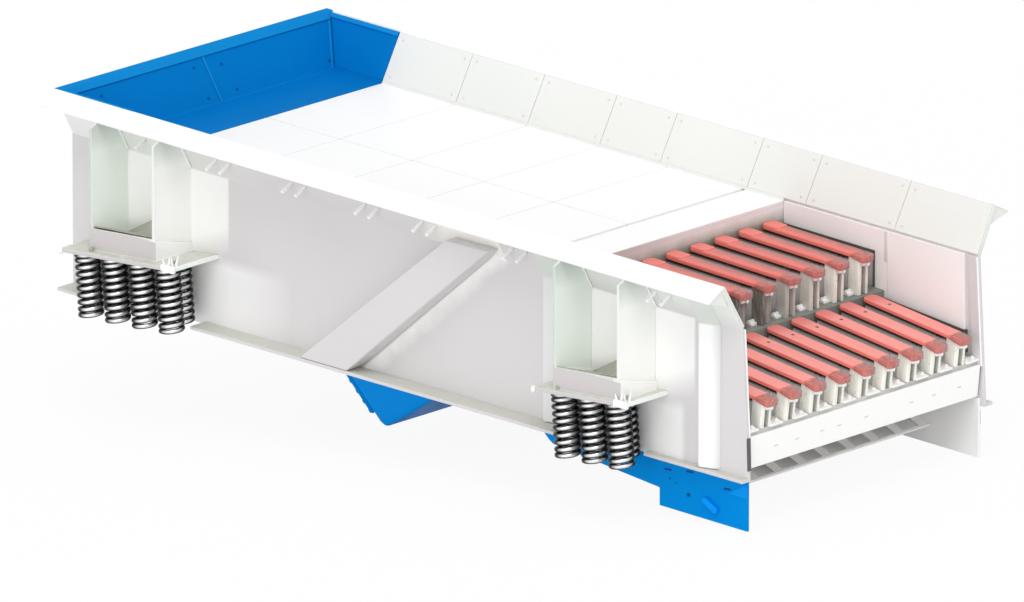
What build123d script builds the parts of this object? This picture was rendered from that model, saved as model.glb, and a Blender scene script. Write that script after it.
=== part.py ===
from build123d import *
import math
import os

os.makedirs("parts", exist_ok=True)

# Working frame: X runs with the deck towards the discharge, Y across, Z square to the deck.
# Every size is in millimetres. The pan is laid at its service slope at the end.
SERVICE_SLOPE = 5.0
SLOPE_TAN = math.tan(math.radians(SERVICE_SLOPE))
TOUCH = 0.3

# Trough
INNER_HALF = 650.0
PLATE = 14.0
OUTER_HALF = INNER_HALF + PLATE
REAR_X = -140.0
FRONT_X = 3527.0
FRONT_LEAN = 0.0612
BOTTOM_REAR_Z = -640.0
BOTTOM_FRONT_Z = -604.0
FLARE_OUT = 107.0
FLARE_UP = 195.0
FLARE_LEN = math.hypot(FLARE_OUT, FLARE_UP)
FLARE_ALONG = (-FLARE_OUT / FLARE_LEN, FLARE_UP / FLARE_LEN)
FLARE_NORMAL = (-FLARE_UP / FLARE_LEN, -FLARE_OUT / FLARE_LEN)
RIM_PLATE = 12.0
RIM_WIDTH = 98.0

# How far the trimming tools run past the plates that they trim
OVERRUN = 200.0
HIGH = FLARE_UP + OVERRUN
LOW = BOTTOM_REAR_Z - OVERRUN
WIDE = OUTER_HALF + FLARE_OUT + RIM_WIDTH + OVERRUN

# Foot flange along the bottom of the side plates
FLANGE_PLATE = 14.0
FLANGE_WIDE = 88.0
FLANGE_NARROW = 34.0
FLANGE_REAR_END = -8.0
FLANGE_MID = (606.0, 2600.0)
FLANGE_FRONT_START = 3034.0


def front_x(z):
    return FRONT_X - FRONT_LEAN * z


def bottom_z(x):
    span = front_x(BOTTOM_FRONT_Z) - REAR_X
    return BOTTOM_REAR_Z + (BOTTOM_FRONT_Z - BOTTOM_REAR_Z) * (x - REAR_X) / span


def prism(points, vector):
    wire = Wire.make_polygon([Vector(*p) for p in points], close=True)
    return Solid.extrude(Face(wire), Vector(*vector))


def xz_prism(points, y0, y1):
    return prism([(x, y0, z) for x, z in points], (0, y1 - y0, 0))


def yz_prism(points, x0, x1):
    return prism([(x0, y, z) for y, z in points], (x1 - x0, 0, 0))


def xy_prism(points, z0, z1):
    return prism([(x, y, z0) for x, y in points], (0, 0, z1 - z0))


def block(x0, x1, y0, y1, z0, z1):
    return xy_prism([(x0, y0), (x1, y0), (x1, y1), (x0, y1)], z0, z1)


def tube_y(x, z, radius, y0, y1):
    plane = Plane(origin=(x, y0, z), x_dir=(1, 0, 0), z_dir=(0, 1, 0))
    return Solid.make_cylinder(radius, y1 - y0, plane)


def one(result):
    solids = list(result.solids()) if hasattr(result, "solids") else list(result)
    return solids[0] if len(solids) == 1 else Compound(children=solids)


def common(shape, tool):
    return one(shape.intersect(tool))


def mirrored(shape):
    return shape.mirror(Plane.XZ)


def turned(shape, degrees, x, z):
    axis = Axis((x, 0, z), (0, 1, 0))
    return shape.rotate(axis, degrees)


def both(shapes):
    return list(shapes) + [mirrored(s) for s in shapes]


def fuse(shapes):
    return one(shapes[0].fuse(*shapes[1:]))


# Outlines used to trim plates: the whole side in XZ, and the clear inside of the trough in YZ.
SIDE_OUTLINE = [(REAR_X, HIGH), (front_x(HIGH), HIGH), (front_x(BOTTOM_FRONT_Z), BOTTOM_FRONT_Z),
                (REAR_X, BOTTOM_REAR_Z)]
INSIDE = [(-INNER_HALF, LOW), (-INNER_HALF, 0), (-INNER_HALF - FLARE_OUT, FLARE_UP),
          (INNER_HALF + FLARE_OUT, FLARE_UP), (INNER_HALF, 0), (INNER_HALF, LOW)]


def inside(shape):
    return common(shape, yz_prism(INSIDE, REAR_X - OVERRUN, FRONT_X + OVERRUN))


# Crest of the flare: the rim flange lies on the flare's end, square to it.
CREST = (-INNER_HALF - FLARE_OUT, FLARE_UP)
FLARE_TOP = (CREST[0] - RIM_PLATE * FLARE_ALONG[0], CREST[1] - RIM_PLATE * FLARE_ALONG[1])
FLARE_TOP_OUT = (FLARE_TOP[0] + PLATE * FLARE_NORMAL[0], FLARE_TOP[1] + PLATE * FLARE_NORMAL[1])
BEND_DROP = PLATE * math.tan(math.atan2(FLARE_OUT, FLARE_UP) / 2)
RIM_OUT = (CREST[0] + RIM_WIDTH * FLARE_NORMAL[0], CREST[1] + RIM_WIDTH * FLARE_NORMAL[1])
RIM_OUT_LOW = (RIM_OUT[0] - RIM_PLATE * FLARE_ALONG[0], RIM_OUT[1] - RIM_PLATE * FLARE_ALONG[1])


def side_plate():
    flat = block(REAR_X - OVERRUN, FRONT_X + OVERRUN, -OUTER_HALF, -INNER_HALF, LOW, 0)
    section = [(-INNER_HALF, -1), (-INNER_HALF, 0), FLARE_TOP, FLARE_TOP_OUT, (-OUTER_HALF, -BEND_DROP)]
    flare = yz_prism(section, REAR_X - OVERRUN, FRONT_X + OVERRUN)
    return common(fuse([flat, flare]), xz_prism(SIDE_OUTLINE, -WIDE, 0))


def rim_flange():
    shape = yz_prism([CREST, RIM_OUT, RIM_OUT_LOW, FLARE_TOP], REAR_X - OVERRUN, FRONT_X + OVERRUN)
    outline = [(REAR_X, HIGH), (front_x(HIGH), HIGH), (front_x(LOW), LOW), (REAR_X, LOW)]
    return common(shape, xz_prism(outline, -WIDE, 0))


def bottom_flange():
    pieces = []
    spans = [(REAR_X, FLANGE_REAR_END, FLANGE_WIDE), (FLANGE_MID[0], FLANGE_MID[1], FLANGE_WIDE),
             (FLANGE_FRONT_START, front_x(BOTTOM_FRONT_Z), FLANGE_NARROW)]
    for x0, x1, width in spans:
        outline = [(x0, bottom_z(x0)), (x1, bottom_z(x1)), (x1, bottom_z(x1) + FLANGE_PLATE),
                   (x0, bottom_z(x0) + FLANGE_PLATE)]
        pieces.append(xz_prism(outline, -OUTER_HALF - width, -OUTER_HALF))
    return pieces


# Rear wall
WALL_LEAN = 130.0
WALL_PLATE = 12.0
BACK_LOW_Z = -430.0
LINER = 10.0
BAND_UP = 168.0
BAND_EXTRA = 6.0
WALL_LEN = math.hypot(WALL_LEAN, FLARE_UP)


def wall_x(z):
    return -WALL_LEAN * z / FLARE_UP


def rear_wall():
    back = WALL_PLATE * WALL_LEN / FLARE_UP
    outline = [(0, 0), (wall_x(FLARE_UP), FLARE_UP), (wall_x(FLARE_UP) - back, FLARE_UP), (-back, 0),
               (-back, BACK_LOW_Z), (-back + WALL_PLATE, BACK_LOW_Z), (-back + WALL_PLATE, -40), (0, -40)]
    return inside(xz_prism(outline, -WIDE, WIDE))


def rear_wall_liner():
    face = LINER * WALL_LEN / FLARE_UP
    thick = (LINER + BAND_EXTRA) * WALL_LEN / FLARE_UP
    outline = [(0, 0), (face, 0), (wall_x(BAND_UP) + face, BAND_UP), (wall_x(BAND_UP) + thick, BAND_UP),
               (wall_x(FLARE_UP) + thick, FLARE_UP), (wall_x(FLARE_UP), FLARE_UP)]
    return inside(xz_prism(outline, -WIDE, WIDE))


# Deck and its liners, all flush at Z = 0
DECK_PLATE = 14.0
DECK_JOINTS = [281.0, 687.0, 1086.0, 1483.0, 1863.0, 2284.0, 2489.0]
DECK_GAP = 4.0
WIDE_JOINT = 18.0
PAN_PLATE = 12.0
LINER_JOINTS = [281.0, 690.0, 1088.0, 1485.0, 1816.0, 2288.0, 2605.0, 3082.0]
LINER_GAP = 3.0
SIDE_GAP = 2.0
LINER_START = 6.0


def deck_plates():
    plates = []
    for x0, x1 in zip(DECK_JOINTS, DECK_JOINTS[1:]):
        gap = WIDE_JOINT if x1 == DECK_JOINTS[-2] else DECK_GAP
        if x1 == DECK_JOINTS[-1]:
            plates.append(block(x0, x1, -INNER_HALF + SIDE_GAP, INNER_HALF - SIDE_GAP, -DECK_PLATE, 0))
            continue
        end = x1 - gap
        for side in (-1, 1):
            y0, y1 = sorted((side * DECK_GAP / 2, side * (INNER_HALF - SIDE_GAP)))
            plates.append(block(x0, end, y0, y1, -DECK_PLATE, 0))
    return plates


def flare_strip(x0, x1, thick, start=0.0, end=FLARE_LEN - RIM_PLATE):
    def at(along, off):
        return (-INNER_HALF + along * FLARE_ALONG[0] - off * FLARE_NORMAL[0],
                along * FLARE_ALONG[1] - off * FLARE_NORMAL[1])
    return yz_prism([at(start, 0), at(end, 0), at(end, thick), at(start, thick)], x0, x1)


def flare_liners():
    plates = []
    ends = LINER_JOINTS + [FRONT_X]
    for x0, x1 in zip(ends, ends[1:]):
        last = x1 == ends[-1]
        plate = flare_strip(x0, x1 + OVERRUN if last else x1 - LINER_GAP, LINER, start=LINER_START)
        if last:
            outline = [(x0 - OVERRUN, HIGH), (front_x(HIGH) - DECK_GAP, HIGH), (front_x(LOW) - DECK_GAP, LOW),
                       (x0 - OVERRUN, LOW)]
            plate = common(plate, xz_prism(outline, -WIDE, 0))
        plates.append(plate)
    return plates


def rear_side_liner():
    x0, x1 = REAR_X - OVERRUN, DECK_JOINTS[0] - LINER_GAP
    body = flare_strip(x0, x1, LINER, start=LINER_START)
    band = flare_strip(x0, x1, LINER + BAND_EXTRA, start=FLARE_LEN * BAND_UP / FLARE_UP)
    face = (LINER + BAND_EXTRA) * WALL_LEN / FLARE_UP + 1
    ahead = [(face, 0), (x1 + OVERRUN, 0), (x1 + OVERRUN, HIGH), (wall_x(HIGH) + face, HIGH)]
    return common(fuse([body, band]), xz_prism(ahead, -WIDE, 0))


def deck_frame():
    pan = block(2, DECK_JOINTS[-1] - 14, -INNER_HALF, INNER_HALF, -DECK_PLATE - PAN_PLATE, -DECK_PLATE)
    return pan


CROSS_TUBES = [(330.0, -330.0), (840.0, -200.0), (2120.0, -250.0)]
CROSS_RADIUS = 84.0
CROSS_WALL = 10.0
RIB = 10.0
RIB_DEEP = 110.0
RIB_FROM_JOINT = [-101.0, -127.0, 94.0, 77.0, -3.0, 46.0]


def cross_tubes():
    return [ring_tube(x, z, CROSS_RADIUS, CROSS_WALL) for x, z in CROSS_TUBES]


def deck_ribs():
    ribs = []
    low = -DECK_PLATE - PAN_PLATE
    for joint, offset in zip(DECK_JOINTS, RIB_FROM_JOINT):
        x = joint + offset
        ribs.append(block(x, x + RIB, -INNER_HALF, INNER_HALF, low - RIB_DEEP, low))
    return ribs


# Grizzly: two steps of bars
BAR_COUNT = 9
BAR_PITCH = 135.0
CAP_WIDE = 68.0
CAP_THICK = 16.0
BODY_WIDE = 58.0
BODY_WEB = 17.0
REAR_BAR_X = (2496.0, 3049.0)
REAR_BAR_TOP = -66.0
REAR_BAR_TILT = 1.2
REAR_BAR_DEEP = 150.0
FRONT_BAR_X = (3041.0, 3579.0)
FRONT_BAR_TOP = -241.0
FRONT_BAR_TILT = 6.0
FRONT_BAR_DEEP = 108.0
NOSE = 26.0
HOOD_LONG = 64.0
HOOD_DEEP = 38.0
BEAM_PLATE = 12.0
BETWEEN_LINERS = INNER_HALF - LINER - TOUCH


def bar_centres():
    return [(i - (BAR_COUNT - 1) / 2) * BAR_PITCH for i in range(BAR_COUNT)]


def cap(x0, x1, y, top):
    r = CAP_WIDE / 2
    arc = [(x0 + r - r * math.cos(math.radians(a)), y + r * math.sin(math.radians(a)))
           for a in (-90, -60, -30, 0, 30, 60, 90)]
    front = [(x1 - NOSE, y + r), (x1, y + r * 0.7), (x1, y - r * 0.7), (x1 - NOSE, y - r)]
    hood = [(x1 - HOOD_LONG, y + r)] + front + [(x1 - HOOD_LONG, y - r)]
    return fuse([xy_prism(arc + front, top - CAP_THICK, top), xy_prism(hood, top - HOOD_DEEP, top)])


def bar_body(x0, x1, y, top, deep):
    webs = []
    under, low = top - CAP_THICK, top - CAP_THICK - deep
    outline = [(x0, low), (x1 - NOSE, low), (x1 - NOSE, top - HOOD_DEEP), (x1 - HOOD_LONG, top - HOOD_DEEP),
               (x1 - HOOD_LONG, under), (x0, under)]
    for side in (-1, 1):
        y0, y1 = sorted((y + side * (BODY_WIDE / 2 - BODY_WEB), y + side * BODY_WIDE / 2))
        webs.append(xz_prism(outline, y0, y1))
    sole = block(x0, x1 - NOSE - HOOD_LONG, y - BODY_WIDE / 2, y + BODY_WIDE / 2, low, low + BODY_WEB)
    return fuse(webs + [sole])


def bars(span, top, tilt, deep):
    caps, bodies = [], []
    for y in bar_centres():
        caps.append(turned(cap(span[0], span[1], y, top), tilt, span[0], top))
        swing = (CAP_THICK + deep) * math.sin(math.radians(tilt))
        bodies.append(turned(bar_body(span[0] + swing, span[1], y, top, deep), tilt, span[0], top))
    return caps, bodies


def box_beam(x0, x1, z0, z1, tilt=0.0, pivot=(0, 0)):
    half = BETWEEN_LINERS
    shell = block(x0, x1, -half, half, z0, z1)
    hollow = block(x0 + BEAM_PLATE, x1 - BEAM_PLATE, -half, half, z0 + BEAM_PLATE, z1 - BEAM_PLATE)
    beam = one(shell.cut(hollow))
    return turned(beam, tilt, *pivot) if tilt else beam


REAR_BODY_LOW = REAR_BAR_TOP - CAP_THICK - REAR_BAR_DEEP
FRONT_BODY_LOW = FRONT_BAR_TOP - CAP_THICK - FRONT_BAR_DEEP
REAR_PIVOT = (REAR_BAR_X[0], REAR_BAR_TOP)
FRONT_PIVOT = (FRONT_BAR_X[0], FRONT_BAR_TOP)
STEP_X = (2915.0, FRONT_BAR_X[0] - 1.5)
STEP_DEEP = 150.0
SEAT_X = (3440.0, 3555.0)
SEAT_DEEP = 118.0
PAD = 15.0
REAR_LEDGE = 60.0
LEDGE_DROP = 8.0
END_DROP = 70.0


def bar_beams():
    edge = DECK_JOINTS[-1]
    wall = block(edge - DECK_PLATE, edge, -INNER_HALF, INNER_HALF, REAR_BODY_LOW - END_DROP,
                 -DECK_PLATE - TOUCH)
    ledge_top = REAR_BODY_LOW - LEDGE_DROP
    ledge = block(edge, edge + REAR_LEDGE, -INNER_HALF, INNER_HALF, ledge_top - BEAM_PLATE, ledge_top)
    rear = fuse([wall, ledge])
    step = box_beam(STEP_X[0], STEP_X[1], REAR_BODY_LOW - STEP_DEEP, REAR_BODY_LOW - TOUCH, REAR_BAR_TILT,
                    REAR_PIVOT)
    top = FRONT_BODY_LOW - TOUCH
    seat = box_beam(SEAT_X[0], SEAT_X[1], top - PAD - SEAT_DEEP, top - PAD)
    pad = block(SEAT_X[0] - 20, SEAT_X[1] - 6, -BETWEEN_LINERS, BETWEEN_LINERS, top - PAD, top)
    seat = turned(fuse([seat, pad]), FRONT_BAR_TILT, *FRONT_PIVOT)
    return rear, step, seat


# Wear plates on the inside walls beside the bars, and a stiffening strip at each front edge
EDGE_STRIP = 48.0
EDGE_LOW = -440.0
WEAR_GAP = 2.0
WEAR_LAST_X = 3458.0
WEAR_STEP_X = 2984.0
WEAR_TOP = -1.0
WEAR_REAR_LOW = (-90.0, -94.0)
WEAR_STEP_LOW = (-270.0, -276.0)
WEAR_FRONT_LOW = -309.0
WEAR_FRONT_LEAN = 6.0


def wall_liners():
    t0, t1 = -INNER_HALF, -INNER_HALF + LINER
    first, joint = DECK_JOINTS[-1] + WEAR_GAP, REAR_BAR_X[1] + WEAR_GAP
    upper = [(first, WEAR_TOP), (joint - LINER_GAP, WEAR_TOP), (joint - LINER_GAP, WEAR_STEP_LOW[1]),
             (WEAR_STEP_X, WEAR_STEP_LOW[0]), (WEAR_STEP_X, WEAR_REAR_LOW[1]), (first, WEAR_REAR_LOW[0])]
    lower = [(joint, WEAR_TOP), (WEAR_LAST_X, WEAR_TOP), (WEAR_LAST_X + WEAR_FRONT_LEAN, WEAR_FRONT_LOW),
             (joint, WEAR_STEP_LOW[1])]
    strip = [(front_x(WEAR_TOP) - EDGE_STRIP, WEAR_TOP), (front_x(WEAR_TOP), WEAR_TOP),
             (front_x(EDGE_LOW), EDGE_LOW), (front_x(EDGE_LOW) - EDGE_STRIP, EDGE_LOW)]
    return [xz_prism(upper, t0, t1), xz_prism(lower, t0, t1)], xz_prism(strip, t0, t1)


# Skirts below the discharge end, bolted inside the side plates
SKIRT_PLATE = 12.0
SKIRT_FRONT_X = 3545.0
SKIRT_LAP = 34.0
SKIRT_LOW_Z = -812.0
SKIRT_STEP_X = 3074.0
SKIRT_EDGE = [(3074.0, -740.0), (2930.0, -729.0), (2777.0, -717.0), (2501.0, -696.0), (2479.0, -684.0),
              (2452.0, -662.0)]


def skirt():
    top_rear = bottom_z(SKIRT_EDGE[-1][0]) + SKIRT_LAP
    top_front = bottom_z(SKIRT_FRONT_X) + SKIRT_LAP
    outline = [(SKIRT_FRONT_X, top_front), (SKIRT_FRONT_X, SKIRT_LOW_Z), (SKIRT_STEP_X, SKIRT_LOW_Z)]
    outline += SKIRT_EDGE + [(SKIRT_EDGE[-1][0] - 20, top_rear)]
    return xz_prism(outline, -INNER_HALF, -INNER_HALF + SKIRT_PLATE)


# Discharge lip and slotted plate
LIP_HIGH = 130.0
LIP_PLATE = 14.0
LIP_SIDE = 10.0
SLOT_X = (2980.0, 3285.0)
SLOT_LOW_Z = -742.0
SLOT_ANGLE = 20.0
SLOT_PLATE = 12.0
SLOT_RAIL = 12.0
SLOT_HEAD = 60.0
FINGER = 47.0
FINGER_DEEP = 66.0
FINGER_INSET = 10.0
FINGER_NOSE = 16.0


def front_lip():
    top = FRONT_BODY_LOW - PAD
    face = block(SEAT_X[1] + TOUCH, SEAT_X[1] + LIP_PLATE, -INNER_HALF + LIP_SIDE, INNER_HALF - LIP_SIDE,
                 top - LIP_HIGH, top)
    return turned(face, FRONT_BAR_TILT, *FRONT_PIVOT)


def slotted_plate():
    length = (SLOT_X[1] - SLOT_X[0]) / math.cos(math.radians(SLOT_ANGLE))
    x1, z1 = SLOT_X[1], SLOT_LOW_Z
    half = INNER_HALF - SKIRT_PLATE - TOUCH
    plate = block(x1 - length, x1, -half, half, z1, z1 + SLOT_PLATE)
    slot = (BAR_PITCH - FINGER) / 2
    for y in bar_centres():
        hole = block(x1 - length + SLOT_HEAD, x1 - SLOT_RAIL, y - slot, y + slot, z1 - 50, z1 + 50)
        plate = one(plate.cut(hole))
    fingers = []
    for i in range(BAR_COUNT - 1):
        y = bar_centres()[i] + BAR_PITCH / 2
        rear, front = x1 - length + FINGER_INSET, x1 - SLOT_RAIL - FINGER_INSET
        outline = [(rear, z1 + TOUCH), (front, z1 + TOUCH), (front, z1 - FINGER_NOSE),
                   (front - FINGER_DEEP + FINGER_NOSE, z1 - FINGER_DEEP), (rear, z1 - FINGER_DEEP)]
        fingers.append(xz_prism(outline, y - FINGER / 2, y + FINGER / 2))
    return turned(fuse([plate] + fingers), SLOT_ANGLE, x1, z1)


# Vibrating drive: a tube between the side plates carries the housing below on two hangers
BAND_EDGE = [(1207.0, -620.0), (1469.0, -620.0), (2250.0, 52.0), (2012.0, 46.0)]
BAND_RAISE = FLANGE_WIDE
BEAM_RADIUS = 140.0
BEAM_WALL = 16.0
BEAM_CENTRE = (1580.0, -400.0)
HOUSING = [(1300.0, -938.0), (1329.0, -953.0), (1362.0, -936.0), (1681.0, -724.0), (1640.0, -600.0),
           (1190.0, -660.0), (1100.0, -755.0)]
HOUSING_Y = (-400.0, 400.0)
HOUSING_WALL = 30.0
HANGER = 24.0
HANGER_Y = 250.0
HANGER_SPREAD = 60.0
HANGER_REAR_IN = 110.0
HANGER_LAP = 20.0


def exciter_band():
    outer = -OUTER_HALF - BAND_RAISE
    outline = [(x, max(z, bottom_z(x) + FLANGE_PLATE + TOUCH)) for x, z in BAND_EDGE]
    band = xz_prism(outline, outer, -INNER_HALF)
    top = FLARE_UP / 2
    out = top * FLARE_OUT / FLARE_UP
    keep = yz_prism([(outer, LOW), (-OUTER_HALF, LOW), (-OUTER_HALF, -BEND_DROP),
                     (-OUTER_HALF - out, top - BEND_DROP), (outer, top - BEND_DROP)], 0, 4000)
    return common(band, keep)


def ring_tube(x, z, radius, wall):
    shell = tube_y(x, z, radius, -INNER_HALF, INNER_HALF)
    return one(shell.cut(tube_y(x, z, radius - wall, -INNER_HALF, INNER_HALF)))


def exciter_hangers():
    x, z = BEAM_CENTRE
    r = BEAM_RADIUS
    rear_foot, front_foot = HOUSING[5], HOUSING[4]
    outline = [(rear_foot[0] + HANGER_REAR_IN, rear_foot[1] + HANGER_LAP),
               (x - r - HANGER_SPREAD, z - HANGER_SPREAD / 2), (x - r * 0.6, z + r * 0.9),
               (x + r * 0.7, z + r * 0.7), (x + r + HANGER_LAP, z - HANGER_SPREAD), front_foot]
    core = tube_y(x, z, r + TOUCH, -INNER_HALF, INNER_HALF)
    body = xz_prism(HOUSING, *HOUSING_Y)
    plates = []
    for side in (-1, 1):
        plate = xz_prism(outline, side * HANGER_Y - HANGER / 2, side * HANGER_Y + HANGER / 2)
        plates.append(one(plate.cut(core).cut(body)))
    return plates


def exciter_housing():
    cx = sum(x for x, z in HOUSING) / len(HOUSING)
    cz = sum(z for x, z in HOUSING) / len(HOUSING)
    keep = 0.82
    core = [(cx + (x - cx) * keep, cz + (z - cz) * keep) for x, z in HOUSING]
    y0, y1 = HOUSING_Y
    shell = xz_prism(HOUSING, y0, y1)
    return one(shell.cut(xz_prism(core, y0 + HOUSING_WALL, y1 - HOUSING_WALL)))


# Upright stiffeners on the outside: a wedge section that follows the side plate and its flare
STIFFENER_X = (2486.0, 3321.0)
STIFFENER_WIDE = 100.0
STIFFENER_OUT = FLANGE_NARROW


def stiffeners():
    shapes = []
    tan = FLARE_OUT / FLARE_UP
    top = FLARE_TOP_OUT[1] - STIFFENER_OUT * tan - TOUCH
    for x in STIFFENER_X:
        low = bottom_z(x + STIFFENER_WIDE) + FLANGE_PLATE + TOUCH

        def section(z):
            return [(x, -OUTER_HALF, z), (x, -OUTER_HALF - STIFFENER_OUT, z),
                    (x + STIFFENER_WIDE, -OUTER_HALF, z)]
        upright = prism(section(low), (0, 0, -BEND_DROP - low))
        leaning = prism(section(-BEND_DROP), (0, -(top + BEND_DROP) * tan, top + BEND_DROP))
        shapes.append(fuse([upright, leaning]))
    return shapes


# Spring brackets
BASE_PLATE = 16.0
WEB_HIGH = 86.0
TOE_LOW = 34.0
WEB_PLATE = 12.0
GUSSET = 12.0
GUSSET_OUT = 868.0
REAR_BRACKET = {"x": (45.0, 680.0), "z": -346.0, "deep": 254.0, "gussets": (164.0, 512.0), "springs": 4,
                "first": 144.0, "pitch": 150.0, "shift": -60.0, "rows": (82.0, 198.0)}
FRONT_BRACKET = {"x": (2626.0, 3133.0), "z": -349.0, "deep": 232.0, "gussets": (2711.0, 3055.0), "springs": 3,
                 "first": 2742.0, "pitch": 145.0, "shift": -82.0, "rows": (58.0, 172.0)}


def underside_z(b, x):
    return b["z"] - (b["x"][1] - x) * SLOPE_TAN


def base_plate(b):
    x0, x1 = b["x"]
    outline = [(x0, underside_z(b, x0)), (x1, underside_z(b, x1)), (x1, underside_z(b, x1) + BASE_PLATE),
               (x0, underside_z(b, x0) + BASE_PLATE)]
    return xz_prism(outline, -OUTER_HALF - b["deep"], -OUTER_HALF)


def bracket(b):
    g0, g1 = b["gussets"]
    outer = min(GUSSET_OUT, OUTER_HALF + b["deep"] - 6)
    web_z0 = underside_z(b, g0) + BASE_PLATE
    web_z1 = underside_z(b, g1) + BASE_PLATE
    web = xz_prism([(g0, web_z0), (g1, web_z1), (g1, web_z1 + WEB_HIGH), (g0, web_z0 + WEB_HIGH)],
                   -outer, -outer + WEB_PLATE)
    shapes = [base_plate(b), web]
    for x in (g0, g1):
        base = underside_z(b, x) + BASE_PLATE
        points = [(-OUTER_HALF, base), (-OUTER_HALF, -BEND_DROP), FLARE_TOP_OUT, RIM_OUT_LOW,
                  (-outer, RIM_OUT_LOW[1] - 14), (-outer, base)]
        shapes.append(yz_prism(points, x, x + GUSSET))
        toe = [(-OUTER_HALF, base), (-OUTER_HALF, base + TOE_LOW), (-outer, base + WEB_HIGH), (-outer, base)]
        shapes.append(yz_prism(toe, x + GUSSET, x + GUSSET + WEB_PLATE))
    return fuse(shapes)


# Coil springs: a faceted helix with a flat ground plate at each end
SPRING_OD = 106.0
WIRE = 20.0
SPRING_HIGH = 262.0
END_PLATE = 8.0
TURNS = 7.5
STEPS = 6


def spring():
    """One coil spring, round its own upright axis, its foot on Z = 0."""
    radius = (SPRING_OD - WIRE) / 2
    wire_r = WIRE / 2 * 1.2
    z0 = END_PLATE + WIRE * 0.35
    z1 = SPRING_HIGH - END_PLATE - WIRE * 0.35
    count = int(TURNS * STEPS)
    rings = []
    for i in range(count + 1):
        a = 2 * math.pi * i / STEPS
        z = z0 + (z1 - z0) * i / count
        ring = []
        for k in range(3):
            t = math.radians(180 + 120 * k)
            r = radius + wire_r * math.cos(t) * 0.93
            ring.append(Vector(r * math.cos(a), r * math.sin(a), z + wire_r * math.sin(t) * 0.93))
        rings.append(ring)
    faces = [Face(Wire.make_polygon(rings[0], close=True)), Face(Wire.make_polygon(rings[-1], close=True))]
    for r0, r1 in zip(rings, rings[1:]):
        for k in range(3):
            m = (k + 1) % 3
            faces.append(Face(Wire.make_polygon([r0[k], r0[m], r1[m]], close=True)))
            faces.append(Face(Wire.make_polygon([r0[k], r1[m], r1[k]], close=True)))
    coil = Solid(Shell(faces))
    if coil.volume < 0:
        coil = Solid(Shell([-f for f in faces]))
    return coil


def hexagon(r, z0, z1):
    points = [(r * math.cos(math.radians(60 * k)), r * math.sin(math.radians(60 * k))) for k in range(6)]
    return xy_prism(points, z0, z1)


def spring_set(b, master):
    shapes = []
    for row, out in enumerate(b["rows"]):
        y = -OUTER_HALF - out
        for i in range(b["springs"]):
            x = b["first"] + i * b["pitch"] + (b["shift"] if row == 0 else 0.0)
            top = underside_z(b, x) - TOUCH
            foot_x = x + SPRING_HIGH * math.sin(math.radians(SERVICE_SLOPE))
            foot_z = top - SPRING_HIGH * math.cos(math.radians(SERVICE_SLOPE))
            for s in master:
                shapes.append(s.rotate(Axis.Y, -SERVICE_SLOPE).translate(Vector(foot_x, y, foot_z)))
    return shapes


# The front spring foot nearest the discharge on the near side carries the frame.
def datum():
    b = FRONT_BRACKET
    x = b["first"] + (b["springs"] - 1) * b["pitch"]
    top = underside_z(b, x) - TOUCH
    return (x + SPRING_HIGH * math.sin(math.radians(SERVICE_SLOPE)), -OUTER_HALF - b["rows"][1],
            top - SPRING_HIGH * math.cos(math.radians(SERVICE_SLOPE)))


def placed(shape):
    x, y, z = datum()
    return shape.translate(Vector(-x, -y, -z)).rotate(Axis.Y, SERVICE_SLOPE)


def save(name, shapes):
    items = shapes if isinstance(shapes, (list, tuple)) else [shapes]
    solids = []
    for item in items:
        solids.extend(placed(item).solids())
    result = solids[0] if len(solids) == 1 else Compound(children=solids)
    export_step(result, "parts/%s.step" % name)
    box = result.bounding_box()
    print(name, len(solids), round(sum(s.volume for s in solids) / 1e6, 2),
          [round(v) for v in (box.min.X, box.min.Y, box.min.Z, box.max.X, box.max.Y, box.max.Z)])


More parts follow.
